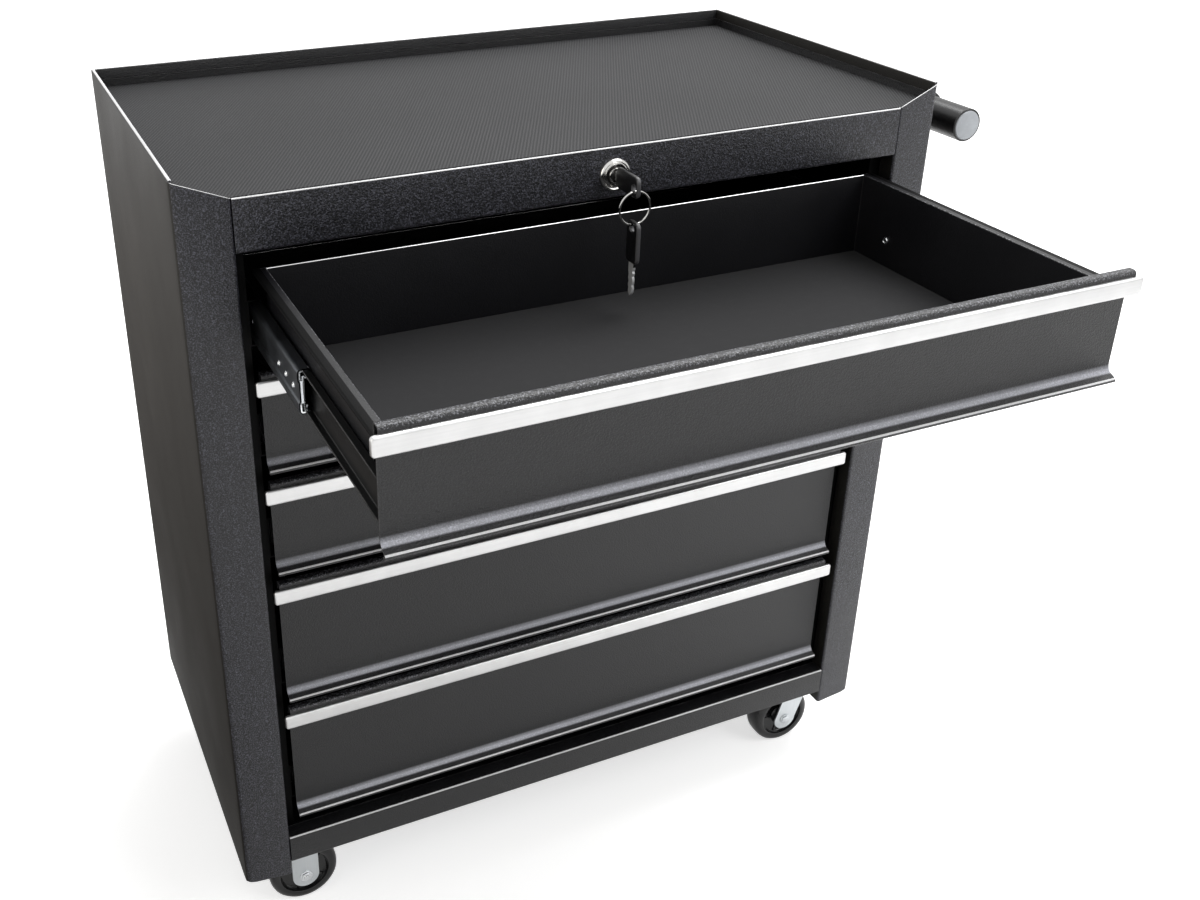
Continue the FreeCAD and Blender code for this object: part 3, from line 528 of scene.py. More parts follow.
def ribbed_mat(name, dark, light):
    """Worktop mat with fine slanted ribs."""
    material, tree, shader = blank(name)
    where = object_space(tree)
    turned_at = node(tree, "ShaderNodeMapping", {"Vector": where, "Rotation": (0, 0, math.radians(28))})
    ribs = node(tree, "ShaderNodeTexWave",
                {"Vector": turned_at.outputs[0], "Scale": 130.0, "Distortion": 1.2, "Detail": 2.0,
                 "Detail Scale": 2.0}, wave_type="BANDS", bands_direction="X")
    cross_at = node(tree, "ShaderNodeMapping", {"Vector": where, "Rotation": (0, 0, math.radians(-62))})
    cross = node(tree, "ShaderNodeTexWave",
                 {"Vector": cross_at.outputs[0], "Scale": 170.0, "Distortion": 1.2, "Detail": 2.0},
                 wave_type="BANDS", bands_direction="X")
    weave = maths(tree, "MULTIPLY", ribs.outputs["Fac"], maths(tree, "MULTIPLY_ADD", cross.outputs["Fac"], 0.5, 0.5))
    slow = ramp(tree, noise(tree, where, 7.0, 4.0), 0.3, 0.7, 0.92, 1.08)
    tree.links.new(scaled(tree, mixed(tree, weave, dark, light), slow), shader.inputs["Base Color"])
    shader.inputs["Roughness"].default_value = 0.6
    shader.inputs["Specular IOR Level"].default_value = 0.18
    bumped(tree, shader, weave, 0.5, 0.0005)
    return material


BLACK = paint("black_powder_coat", (0.0018, 0.0018, 0.0021), (0.026, 0.0262, 0.030), grain=820.0, depth=1.0)
# painted sparkle: the same black coat with much lighter flecks, for the posts and upper rail where the grain catches
# the light
SPARKLE_COAT = paint("black_powder_coat_posts_painted_sparkle", (0.0036, 0.0036, 0.0052), (0.108, 0.110, 0.136), grain=720.0, flecks=0.47)
# a rougher, duller copy of the black coat for the side panels, whose warm base and specular tint are a painted warm
# reflection
SIDE = paint("black_powder_coat_sides_painted_warm_reflection", (0.0018, 0.0017, 0.0015), (0.022, 0.0208, 0.0184), rough=0.48,
             grain=820.0, depth=0.25, shine=0.42, tint=(1.0, 0.95, 0.88))
# painted highlight: light grey on rolled and bent edges where they catch the light
HIGHLIGHT_LINE = paint("painted_highlight_line", (0.74, 0.74, 0.75), (0.86, 0.86, 0.87), rough=0.35, depth=0.3, highlight_amount=0.0)
# painted sheen: a light bluish tone on the bend where the fronts flare out
SHEEN = paint("bent_edge_painted_sheen", (0.004, 0.004, 0.0046), (0.03, 0.03, 0.034), rough=0.34, grain=820.0, highlight_amount=0.0,
              bend=(0.66, 0.67, 0.74))
# painted sparkle: light flecks on top-facing lips and bends, standing in for highlights on the grain
LIP_SPARKLE = paint("lip_painted_sparkle", (0.004, 0.004, 0.005), (0.25, 0.253, 0.28), rough=0.32, grain=640.0, highlight_amount=0.0,
            flecks=0.5)
DEEP = paint("shaded_black", (0.0012, 0.0012, 0.0013), (0.002, 0.002, 0.0021), rough=0.5, grain=900.0, depth=0.1,
             highlight_amount=0.0, shine=0.08)
SATIN = paint("black_powder_coat_inside", (0.0042, 0.0042, 0.0055), (0.0075, 0.0076, 0.0095), rough=0.38,
              grain=900.0, depth=0.25, highlight_amount=1.0, shine=0.45)
RUNNER = paint("runner_black", (0.002, 0.002, 0.0022), (0.004, 0.004, 0.0045), rough=0.35, grain=1200.0,
               depth=0.1, highlight_amount=0.6, shine=0.25)
STEEL = metal("runner_steel", (0.17, 0.18, 0.195), 0.36, 0.2, axis=1)
BLADE = metal("key_blade", (0.74, 0.75, 0.76), 0.38, 0.08, axis=2, metallic=0.45)
ZINC = metal("zinc_plate", (0.66, 0.69, 0.71), 0.33, 0.10, axis=2)
BRIGHT = metal("bright_bolt", (0.78, 0.80, 0.82), 0.2, 0.06, axis=0)
CHROME = metal("lock_chrome", (0.72, 0.71, 0.69), 0.12, 0.05, axis=0)
# painted glint: near-white mirror metal on the trays' back rims, standing in for a highlight line
GLINT = metal("rim_glint_metal", (0.92, 0.92, 0.93), 0.16, 0.04, axis=0)
SILVER = metal("satin_aluminium", (0.74, 0.74, 0.74), 0.34, 0.12, axis=0)
RIBBED = ribbed_mat("ribbed_rubber", (0.010, 0.010, 0.0108), (0.050, 0.0505, 0.053))
LINER = plastic("liner_foam", (0.030, 0.030, 0.0312), 0.8, grain=0.35, scratch=0.10, shine=0.15)
KEY = plastic("key_grip", (0.004, 0.004, 0.0045), 0.3, grain=0.15)
# painted highlight: a lighter grey for the grip faces that turn to the front
GRIP_HIGHLIGHT = plastic("key_grip_painted_highlight", (0.085, 0.085, 0.09), 0.35, grain=0.15)
WHEEL = plastic("wheel_gloss", (0.004, 0.004, 0.0045), 0.16, grain=0.03, scratch=0.15)
CAP = plastic("cap_grey", (0.50, 0.525, 0.555), 0.42, grain=0.25, scratch=0.2)
GLOSS = paint("tube_black", (0.003, 0.003, 0.0033), (0.006, 0.006, 0.0065), rough=0.3, grain=700.0,
              depth=0.2, highlight_amount=0.3)


# Carcass
def slope(point):
    """Height of the post's slanted top edge."""
    away = (abs(point.x) - POST) / (HALF - POST)
    return RAIL_TOP + (PANEL - 1.5 - RAIL_TOP) * min(max(away, 0.0), 1.0)


def foot(point):
    """The post's outer lower corner is cut round."""
    near = max(0.0, 1 - (point - Vector((HALF, 4))).length / 9)
    return 2.6 * near * near


def side_panel(side, name, node_name):
    """Side sheet with its folded front post and a rim that is rolled inwards."""
    bm = bmesh.new()
    points = [(HALF - 15, DEPTH), (HALF, DEPTH), (HALF, 16), (HALF, 4), (HALF - 8, 4 - 8 * 4 / 38.5), (POST, 0),
              (POST, 16)]
    path = rounded(points, [0, 2.5, 0, 4.0, 0, 2.0, 0])
    flat = next(i for i, (a, b) in enumerate(zip(path, path[1:])) if (b - a).length > 200)
    first, last = path[flat + 1].y, path[flat].y
    folded(bm, path, -SHEET, "z", foot, slope, skip=(flat,))
    roll = rounded([(HALF, PANEL - 1.5), (HALF, PANEL), (HALF - 3, PANEL), (HALF - 3, PANEL - 9)],
                   [0, 1.5, 1.5, 0], 4)
    inside = shifted(roll, SHEET)
    rows = []
    for y in (last, first, 5.2):
        outer = [bm.verts.new(place(p.x, y, p.y)) for p in roll]
        inner = [bm.verts.new(place(p.x, y, p.y)) for p in inside]
        if y != first:
            for i in range(len(roll) - 1):
                bm.faces.new((outer[i], outer[i + 1], inner[i + 1], inner[i]))
        rows.append((outer, inner))
    for a, b in zip(rows, rows[1:]):
        for i in range(len(roll) - 1):
            for k in (0, 1):
                bm.faces.new((a[k][i], a[k][i + 1], b[k][i + 1], b[k][i]))
        bm.faces.new((a[0][-1], a[1][-1], b[1][-1], b[0][-1]))
    bm.faces.new((rows[1][0][0], rows[1][1][0], rows[2][1][0], rows[2][0][0]))
    if side < 0:
        middle = place(0, 0, 0).x
        for v in bm.verts:
            v.co.x = 2 * middle - v.co.x
    bm.faces.ensure_lookup_table()
    bm.normal_update()
    # the post faces take the sparkle-painted coat (painted highlight on its grain), the side faces the warmer copy
    # (painted warm reflection)
    for face in bm.faces:
        if abs(face.normal.x) > 0.7 and layout(face.calc_center_median())[1] > 4.5:
            face.material_index = 1
    # painted highlight line on the top of the rolled rim
    bright = (HIGHLIGHT_LINE, lambda p, n: p[2] > 598 and n.z > 0.72 and p[1] < 327)
    return piece(name, bm, (SPARKLE_COAT, SIDE), "carcass", (node_name,), bevel=0.25, lit=(bright,))


side_panel(-1, "panel_left", "side_panel_left")
side_panel(1, "panel_right", "side_panel_right")


def rear_sheet():
    bm = bmesh.new()
    path = rounded([(DEPTH - 1, BASE_LOW), (DEPTH - 1, PANEL), (DEPTH - 4, PANEL), (DEPTH - 4, PANEL - 9)],
                   [0, 1.5, 1.5, 0], 4)
    folded(bm, path, SHEET, "x", -(HALF - 3.3), HALF - 3.3)
    for side in (-1, 1):
        near, far = side * (HALF - 3.3), side * (HALF - 1.05)
        bar(bm, (min(near, far), max(near, far)), (DEPTH - 2, DEPTH - 1), (BASE_LOW, PANEL - 1.6))
    # painted highlight line on the top of the rolled rim
    bright = (HIGHLIGHT_LINE, lambda p, n: p[2] > PANEL - 2 and n.z > 0.72)
    piece("rear_sheet", bm, BLACK, "carcass", ("back_panel",), bevel=0.2, lit=(bright,))


rear_sheet()


def worktop():
    bm = bmesh.new()
    low, high = RAIL_TOP - 2, RAIL_TOP - 1
    inner = HALF - 1.02
    across = rounded([(-inner, 608.6), (-inner, low), (inner, low), (inner, 608.6)], 1.4, 3)
    folded(bm, across, SHEET, "y", 16.3, BACK)
    folded(bm, rounded([(16.3, low), (2, low), (2, 594)], 0.6, 3), -SHEET, "x", -(POST - 0.3), POST - 0.3)
    for side in (-1, 1):
        corner = [(side * (POST + 1.3), 2.2), (side * inner, 6.0), (side * inner, 16.3), (side * (POST + 1.3), 16.3)]
        slab(bm, corner, "z", low, high)
    bar(bm, (-inner, inner), (BACK - 1, BACK), (low, 608.6))
    piece("worktop_pan", bm, BLACK, "carcass", ("top_tray",), bevel=0.2)

    bm = bmesh.new()
    edge, lead = HALF - 3.5, POST - 0.7
    outline = [(-lead, 2.2), (lead, 2.2), (edge, 5.9), (edge, 325.5), (-edge, 325.5), (-edge, 5.9)]
    slab(bm, outline, "z", high, RAIL_TOP + 0.5)
    piece("worktop_mat", bm, RIBBED, "carcass", ("top_mat",), bevel=0.5)


worktop()


def rails():
    reach = POST - 0.2
    bm = bmesh.new()
    path = rounded([(2, 594.9), (2, RAIL_TOP), (0, RAIL_TOP), (0, RAIL_LOW), (14, RAIL_LOW)],
                   [0, 0.99, 0.99, 2.4, 0], 5)
    folded(bm, path, SHEET, "x", -reach, reach)
    # painted highlight line on the rail's top edge; the upper rail takes the sparkle-painted coat, the lower rail the
    # plain black
    bright = (HIGHLIGHT_LINE, lambda p, n: p[2] > RAIL_TOP - 1.5 and n.z > 0.45)
    piece("upper_rail", bm, SPARKLE_COAT, "carcass", ("lock_rail",), bevel=0.2, lit=(bright,))
    bm = bmesh.new()
    path = rounded([(14, BASE_TOP), (0, BASE_TOP), (0, BASE_LOW), (14, BASE_LOW)], [0, 1.2, 1.8, 0], 5)
    folded(bm, path, SHEET, "x", -reach, reach)
    # painted highlight line on the lower rail's top edge
    bright = (HIGHLIGHT_LINE, lambda p, n: p[2] > BASE_TOP - 1.5 and 0.3 < n.z < 0.99)
    piece("lower_rail", bm, BLACK, "carcass", ("bottom_rail",), bevel=0.2, lit=(bright,))


rails()


# Drawers
def drawer(n):
    """One drawer: front, strip, tray, liner and the runner members that move with it."""
    name = f"drawer_{n}"
    low = layout(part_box(name + "_front")[0])[2]
    top = layout(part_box(name + "_front")[1])[2]
    out = 1 - layout(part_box(name + "_handle")[0])[1]
    bm = bmesh.new()
    points = [(12, top - 8), (12, top), (4, top), (4, top - 15.5), (9, top - 15.5), (9, low + 10.5),
              (7.6, low + 6.0), (1.0, low + 3.2), (1.0, low), (4.6, low)]
    path = [Vector((p.x - out, p.y)) for p in rounded(points, [0, 2.6, 2.6, 0.8, 0.8, 9, 5.5, 1.5, 1.5, 0], 6)]
    folded(bm, path, SHEET, "x", -FRONT, FRONT)
    # painted sheen on the flare's bend, a painted highlight line on its tip and painted sparkle on the top lip
    flare = (SHEEN, lambda p, n: p[2] < low + 11 and n.y < -0.2)
    tip = (HIGHLIGHT_LINE, lambda p, n: p[2] < low + 4.5 and p[1] < 2.4 - out and 0.25 < n.z < 0.9)
    lip = (LIP_SPARKLE, lambda p, n: p[2] > top - 3 and n.z > 0.25)
    piece(name + "_rolled_front", bm, BLACK, name, (name + "_front",), bevel=0.2,
          lit=(flare, tip, lip))

    bm = bmesh.new()
    high = top - 4
    rows = []
    for depth, inset in ((4, 0), (2.5, 0), (1.8, 0.18), (1.3, 0.6), (1.06, 1.15), (1.0, 1.7)):
        ring = soft_box(STRIP_WIDE - 2 * inset, STRIP_TALL - 2 * inset, 2.3 - inset, (0, high - STRIP_TALL / 2), 6)
        rows.append([bm.verts.new(place(x, depth - out, z)) for x, z in ring])
    strip_of(bm, rows, closed=True)
    bm.faces.new(rows[0])
    bm.faces.new(list(reversed(rows[-1])))
    piece(name + "_pull", bm, SILVER, name, (name + "_handle",), bevel=0.15)

    bm = bmesh.new()
    floor, lip = low + 1, top - 11.5
    for side in (-1, 1):
        points = [(side * (TRAY + 9), lip - 2.2), (side * (TRAY + 9), lip), (side * (TRAY + 3.5), lip),
                  (side * (TRAY - 1), lip), (side * (TRAY - 1), floor + 1)]
        path = rounded(points, [0, 1.5, 0, 0.9, 0], 4)
        folded(bm, path, side * SHEET, "y", 11 - out, TRAY_BACK - out)
    bar(bm, (-TRAY, TRAY), (10 - out, TRAY_BACK - out), (floor, floor + 1))
    bar(bm, (-TRAY, TRAY), (10 - out, 11 - out), (floor + 1, lip))
    back = rounded([(TRAY_BACK - 1 - out, floor + 1), (TRAY_BACK - 1 - out, lip), (TRAY_BACK - out, lip),
                    (TRAY_BACK - out, floor + 1)], [0, 0.9, 0.05, 0], 5)
    slab(bm, [(p.x, p.y) for p in back], "x", -(TRAY - 1), TRAY - 1)
    # painted glint on the back rim in bright metal, painted shade on the outer flanges in shaded black, and painted
    # sparkle along the tops of the tray walls
    rim = (GLINT, lambda p, n: p[1] > TRAY_BACK - 1.1 - out and p[2] > lip - 1 and n.z > 0.1)
    shade = (DEEP, lambda p, n: abs(p[0]) > 253 and p[2] > lip - 4)
    bend = (LIP_SPARKLE, lambda p, n: p[1] < TRAY_BACK - 2 - out and abs(p[0]) < 249 and p[2] > lip - 0.6 and n.z > 0.3)
    piece(name + "_bin", bm, SATIN, name, (name + "_tray",), bevel=0.2, lit=(rim, shade, bend))

    bm = bmesh.new()
    outline = soft_box(2 * 247.4, 252.8 - 1.2, 3, (0, (TRAY_BACK + 10) / 2 - out))
    slab(bm, outline, "z", floor + 1, floor + 2.5)
    piece(name + "_liner", bm, LINER, name, (name + "_mat",), bevel=0.4)
    runners(n, name, floor + 23, out)


def runners(n, name, centre, out):
    """Both sides' inner members, and the middle members that travel half as far."""
    half = 17.5
    bm, screws = bmesh.new(), bmesh.new()
    for side in (-1, 1):
        a, b = TRAY + 5.65, TRAY
        h = half - 3.1
        points = [(side * a, centre - h), (side * b, centre - h), (side * b, centre + h), (side * a, centre + h)]
        folded(bm, rounded(points, [0, 1.6, 1.6, 0], 4), side * -1.2, "y", 16 - out, 262 - out)
        seed = bmesh.new()
        head = [(0.7, 0), (0.7, 1.3), (0.1, 1.7), (0.25, 2.6), (0.8, 3.15), (1.6, 3.2), (1.6, 0)]
        turned(seed, [(side * (along - 1.6), r) for along, r in head], (0, 0, 0), "x", 24)
        set_out(screws, seed, BRIGHT, (side * (TRAY - 1), 50 - out, centre), (0, 178, 0), 2)
        seed.free()
    piece(name + "_slide_inner", bm, RUNNER, name, (name + "_inner_runners",), bevel=0.15)
    piece(name + "_slide_screws", screws, BRIGHT, name, (), bevel=0.1)

    bm, bright = bmesh.new(), bmesh.new()
    shift = out / 2
    near, far = 34 - shift, 280 - shift
    for side in (-1, 1):
        race, web, tip = TRAY + 9.5, TRAY + 8.6, TRAY + 1.2
        h = half - 1.55
        points = [(tip, -h + 2.4), (tip, -h), (race, -h), (race, -h + 8), (web, -h + 9.4), (web, h - 9.4),
                  (race, h - 8), (race, h), (tip, h), (tip, h - 2.4)]
        path = rounded([(side * x, centre + z) for x, z in points], [0, 1.2, 2.6, 0.8, 0.8, 0.8, 0.8, 2.6, 1.2, 0], 4)
        folded(bm, path, side * 1.0, "y", near, far)
        path = rounded([(side * (x - 0.05), centre + z * 0.995) for x, z in points[1:-1]],
                       [0, 2.6, 0.8, 0.8, 0.8, 0.8, 2.6, 0], 4)
        folded(bright, path, side * 1.9, "y", near, near + 3.2)
        cage = [(TRAY + 3.4, -12.6), (TRAY + 6.9, -12.6), (TRAY + 6.9, 12.6), (TRAY + 3.4, 12.6)]
        path = rounded([(side * x, centre + z) for x, z in cage], [0, 1.4, 1.4, 0], 4)
        folded(bright, path, side * 0.8, "y", near - 3.5, near + 92)
        seed = bmesh.new()
        turned(seed, [(1.7 * math.cos(t), 1.7 * math.sin(t)) for t in (math.pi * k / 6 for k in range(7))],
               (0, 0, 0), "y", 12)
        for z in (-10.2, 10.2):
            set_out(bright, seed, BRIGHT, (side * (TRAY + 4.2), near + 1, centre + z), (0, 8, 0), 11)
        seed.free()
        seed = bmesh.new()
        rim = [(0.05, 0), (0.05, 1.0), (0.4, 1.3), (0.6, 1.6), (0.5, 2.0), (0.1, 2.3), (-0.4, 2.3), (-0.4, 0)]
        turned(seed, [(side * along, r) for along, r in rim], (0, 0, 0), "x", 20)
        set_out(bright, seed, BRIGHT, (side * web, near + 14, centre - 1), (0, 17, 0), 3)
        set_out(bright, seed, BRIGHT, (side * web, near + 118, centre), (0, 52, 0), 3)
        seed.free()
    piece(name + "_slide_middle", bm, STEEL, name + "_mid", (name + "_mid_runners",), bevel=0.15)
    for face in bright.faces:
        face.material_index = 0
    # the cage, balls and rivets of the closed drawers are runner black, a painted shade where they sit in the dark
    # gaps; the first drawer's stay bright steel
    piece(name + "_slide_cage", bright, BRIGHT if n == 1 else RUNNER, name + "_mid", (), bevel=0)


for number in range(1, 6):
    drawer(number)


# Lock, keys and split ring
def lock():
    x, z = LOCK
    bm = bmesh.new()
    ring = [(0.0, 12.5), (-0.8, 12.5), (-1.7, 12.0), (-2.2, 11.2), (-2.3, 10.4), (-1.9, 9.7), (-2.0, 9.3),
            (-2.9, 8.9), (-3.0, 8.0), (-2.9, 6.5), (-2.4, 6.08), (3.0, 6.08), (3.0, 9.4), (0.0, 9.4), (0.0, 12.5)]
    turned(bm, ring, (x, 0, z), "y", 64)
    turned(bm, [(3.0, 9.4), (22, 9.4), (22, 6.08), (3.0, 6.08)], (x, 0, z), "y", 48)
    turned(bm, [(1.05, 9.6), (1.05, 13), (5, 13), (5, 9.6), (1.05, 9.6)], (x, 0, z), "y", 6)
    piece("lock_body", bm, CHROME, "carcass", ("lock_housing",), bevel=0.1)
    bm = bmesh.new()
    face = [(-3.5, 0.0), (-3.5, 4.6), (-3.2, 5.7), (-2.6, 6.0), (23, 6.0), (23, 0)]
    turned(bm, face, (x, 0, z), "y", 48)
    bar(bm, (x - 1.1, x + 1.1), (-3.9, -3.4), (z - 3.6, z + 3.6))
    piece("lock_core", bm, CHROME, "lock_core", ("lock_plug",), bevel=0.1)


lock()
EYE = (LOCK[0], -31.5, 580.0)
RING_MID = EYE[2] - HANGING - RING
SPARE_EYE = RING_MID - RING - HANGING


def key_shape(name, body, node_name, hanging):
    """A key: rounded grip with an eye, steel blade with notches."""
    x = EYE[0]
    bm = bmesh.new()

    def spot(along, across):
        """Key measures from the eye's end of the grip to the blade's tip, and across it."""
        if hanging:
            return EYE[1] + across, SPARE_EYE + 5 - along
        return -36.5 + along, LOCK[1] + across

    outer_rows, hole_rows = [], []
    for inset, w in ((1.2, -1.8), (0.3, -1.35), (0.0, -0.8), (0.0, 0.8), (0.3, 1.35), (1.2, 1.8)):
        ring = soft_box(32 - 2 * inset, 16 - 2 * inset, 4.5 - inset, (16, 0))
        outer_rows.append([bm.verts.new(place(x + w, *spot(*p))) for p in ring])
        grow = inset * 0.5
        eye = ring_outline((5, 0 if hanging else -1), 3.2 + grow, 24)
        hole_rows.append([bm.verts.new(place(x + w, *spot(*p))) for p in eye])
    strip_of(bm, outer_rows, closed=True)
    strip_of(bm, hole_rows, closed=True)
    for outer, inner in ((outer_rows[0], hole_rows[0]), (outer_rows[-1], hole_rows[-1])):
        edges = [bm.edges.get((a, b)) for ring in (outer, inner) for a, b in zip(ring, ring[1:] + ring[:1])]
        bmesh.ops.triangle_fill(bm, use_beauty=True, edges=edges)
    grip = len(bm.faces)
    blade = [(31, -3.4), (35, -3.4), (36.6, -3.2), (38.2, -2.4), (40, -3.0), (42.5, -2.2), (45, -3.1), (47, -3.0),
             (49.2, -2.2), (51.5, -2.9), (54.5, -2.5), (56.6, -1.2), (57.8, 0.3), (56.8, 1.6), (54.8, 2.8),
             (52, 2.4), (49.8, 3.1), (47, 2.3), (44.6, 3.2), (41.6, 2.6), (39, 3.3), (36, 3.4), (31, 3.4)]
    low = [bm.verts.new(place(x - 1, *spot(*p))) for p in blade]
    high = [bm.verts.new(place(x + 1, *spot(*p))) for p in blade]
    strip_of(bm, [low, high], closed=True)
    for ring in (low, high):
        edges = [bm.edges.get((a, b)) for a, b in zip(ring, ring[1:] + ring[:1])]
        bmesh.ops.triangle_fill(bm, use_beauty=True, edges=edges)
    bm.faces.ensure_lookup_table()
    for face in bm.faces[grip:]:
        face.material_index = 1
    edge = (GRIP_HIGHLIGHT, lambda p, n: n.y < -0.35 and (p[2] > SPARE_EYE - 27 or not hanging) and p[1] < -22)
    piece(name, bm, (KEY, BLADE), body, (node_name,), bevel=0.12, lit=(edge,))


key_shape("key_in_lock", "key", "key", False)
key_shape("key_hanging", "spare_key", "spare_key", True)


def split_ring():
    bm = bmesh.new()
    points = []
    for k in range(121):
        a = math.radians(100 + 690 * k / 120)
        lift = 0.42 * math.sin(math.pi * k / 120 - math.pi / 2)
        points.append((EYE[0] + RING * math.cos(a), EYE[1] + lift, RING_MID + RING * math.sin(a)))
    flat_wire(bm, points, 0.4, 0.72)
    piece("split_ring", bm, CHROME, "key_ring", ("key_ring",), bevel=0)


split_ring()


# Push handle
def push_handle():
    x, z = HANDLE
    bm = bmesh.new()
    wall = [(18, 12.6), (18, 13.3), (18.6, 14), (311.4, 14), (312, 13.3), (312, 12.6), (300, 12.5), (30, 12.5),
            (18, 12.6)]
    turned(bm, wall, (x, 0, z), "y", 72)
    piece("handle_tube", bm, GLOSS, "carcass", ("handle_bar",), bevel=0)
    bm = bmesh.new()
    for end, way in ((18, 1), (312, -1)):
        face = [(-0.8, 0), (-0.8, 11.2), (-0.5, 12.0), (0.1, 12.35), (8, 12.35), (8, 0)]
        turned(bm, [(way * along, r) for along, r in face], (x, end, z), "y", 64)
    piece("handle_caps", bm, CAP, "carcass", ("handle_end_caps",), bevel=0)
    bm = bmesh.new()
    for y in CLAMPS:
        outline = soft_box(24, 44, 5, (y, z))
        slab(bm, outline, "x", HALF + 0.05, HALF + 2.5)
        slab(bm, [(y - 12, z - 7), (y + 12, z - 7), (y + 12, z + 7), (y - 12, z + 7)], "x", HALF + 2, 342.5)
        turned(bm, [(-12, 14.06), (-12, 16.4), (-11.4, 17), (11.4, 17), (12, 16.4), (12, 14.06), (-12, 14.06)],
               (x, y, z), "y", 56)
    piece("handle_clamps", bm, BLACK, "carcass", ("handle_brackets",), bevel=0.6)
    bm, seed = bmesh.new(), bmesh.new()
    head = [(-0.2, 0), (-0.2, 3.2), (0.8, 3.2), (1.4, 2.6), (1.6, 1.5), (1.2, 1.3), (1.2, 0)]
    turned(seed, head, (0, 0, 0), "x", 24)
    for side in (-1, 1):
        start = (HALF + 2.5, CLAMPS[0], z + side * 15.6)
        set_out(bm, seed, BRIGHT, start, (0, CLAMPS[1] - CLAMPS[0], 0), 2)
    seed.free()
    piece("handle_screws", bm, BRIGHT, "carcass", (), bevel=0)


push_handle()


# Casters
def wheel(name, x, y):
    bm = bmesh.new()
    side = [(-12.6, 4.1), (-12.6, 8.2), (-12.0, 9.0), (-8.0, 9.8), (-6.6, 10.8), (-6.4, 15), (-6.6, 20.2),
            (-8.2, 21.6), (-10.4, 22.2), (-11.0, 23.4), (-11.0, 26.2), (-10.2, 28.4), (-8.4, 30.0), (-5.5, 30.8),
            (-2, 31)]
    profile = side + [(-along, r) for along, r in reversed(side)]
    turned(bm, profile + [(-12.6, 4.1)], (x, y, AXLE), "y", 80)
    for k in range(5):
        a = math.radians(36 + 72 * k)
        for face in (-1, 1):
            ys = sorted((y + face * 6.2, y + face * 7.4))
            turn = [(x + r * math.cos(a) + s * math.sin(a), AXLE + r * math.sin(a) - s * math.cos(a))
                    for r, s in ((9.5, -1.0), (21, -1.0), (21, 1.0), (9.5, 1.0))]
            slab(bm, turn, "y", *ys)
    piece("wheel_" + name, bm, WHEEL, "wheel_" + name, ("wheel_" + name,), bevel=0.15)


def leg(bm, x, y, top, wide, centre):
    """One rounded fork leg in the plane across y."""
    for side in (-1, 1):
        arc = ring_outline((x, AXLE), 12, 17, math.pi, 2 * math.pi, whole=False)
        outline = [(centre + wide / 2, top), (centre - wide / 2, top)] + arc
        ys = sorted((y + side * 13.02, y + side * 14.98))
        slab(bm, outline, "y", *ys)


def hex_bolt(bm, centre, way, radius=4.9, height=2.5):
    """Hexagonal head on a washer along y, turned off at its corners."""
    washer = [(0, 0), (0, radius + 0.9), (way * 0.7, radius + 0.9), (way * 0.9, radius + 0.5), (way * 0.9, 0)]
    turned(bm, washer, centre, "y", 36)
    top = way * height
    head = [(way * 0.9, 0), (way * 0.9, radius), (top - way * 0.5, radius), (top, radius * 0.82), (top, 0)]
    turned(bm, head, centre, "y", 6, phase=0.3)
    turned(bm, [(top, 2.6), (top + way * 0.5, 2.3), (top + way * 0.5, 0)], centre, "y", 20)


def axle(bm, x, y):
    """A pin through the wheel with a bolt head at each end."""
    for way in (-1, 1):
        hex_bolt(bm, (x, y + way * 15, AXLE), way)
    turned(bm, [(-15, 0), (-15, 4), (15, 4), (15, 0)], (x, y, AXLE), "y", 24)


def casters():
    fixed, axles, plates = bmesh.new(), bmesh.new(), bmesh.new()
    bolts = bmesh.new()
    for _, y in CASTERS:
        slab(fixed, soft_box(62, 52, 4, (WHEEL_LEFT, y)), "z", 9.5, 11.98)
        leg(fixed, WHEEL_LEFT, y, 9.8, 24, WHEEL_LEFT)
        axle(axles, WHEEL_LEFT, y)
        slab(plates, soft_box(62, 52, 4, (SWIVEL, y)), "z", 9.5, 11.98)
        turned(plates, [(9.6, 19.2), (8.8, 20), (4.2, 20), (3.0, 19), (2.5, 17), (2.5, 5.1), (9.6, 5.1),
                        (9.6, 19.2)], (SWIVEL, y, 0), "z", 56)
        seed = bmesh.new()
        turned(seed, [(9.5, 0), (9.5, 5.5), (7.2, 5.5), (6.5, 4.8), (6.5, 0)], (0, 0, 0), "z", 6)
        for x in (WHEEL_LEFT, SWIVEL):
            for j in (-1, 1):
                set_out(bolts, seed, BRIGHT, (x - 23, y + 18 * j, 0), (46, 0, 0), 2)
        seed.free()
    piece("caster_fixed_forks", fixed, ZINC, "carcass", ("fixed_caster_frames",), bevel=0.35)
    piece("caster_fixed_axles", axles, BRIGHT, "carcass", ("fixed_caster_axles",), bevel=0.15)
    piece("caster_plates", plates, ZINC, "carcass", ("swivel_caster_plates",), bevel=0.3)
    piece("caster_bolt_heads", bolts, BRIGHT, "carcass", ("caster_bolts",), bevel=0.2)
    for word, y in CASTERS:
        bm = bmesh.new()
        turned(bm, [(2.2, 0), (2.2, 20.4), (1.6, 21.6), (0.4, 22), (-0.5, 21.4), (-0.5, 0)], (SWIVEL, y, 0), "z", 56)
        turned(bm, [(2.2, 4.98), (11, 4.98), (11.6, 4), (11.6, 0)], (SWIVEL, y, 0), "z", 24)
        leg(bm, WHEEL_RIGHT, y, 0.4, 26.4, SWIVEL)
        axle(bm, WHEEL_RIGHT, y)
        piece(f"caster_swivel_fork_{word}", bm, ZINC, f"swivel_{word}", (f"swivel_fork_{word}",),
              bevel=0.3)
        wheel(f"{word}_left", WHEEL_LEFT, y)
        wheel(f"{word}_right", WHEEL_RIGHT, y)


casters()

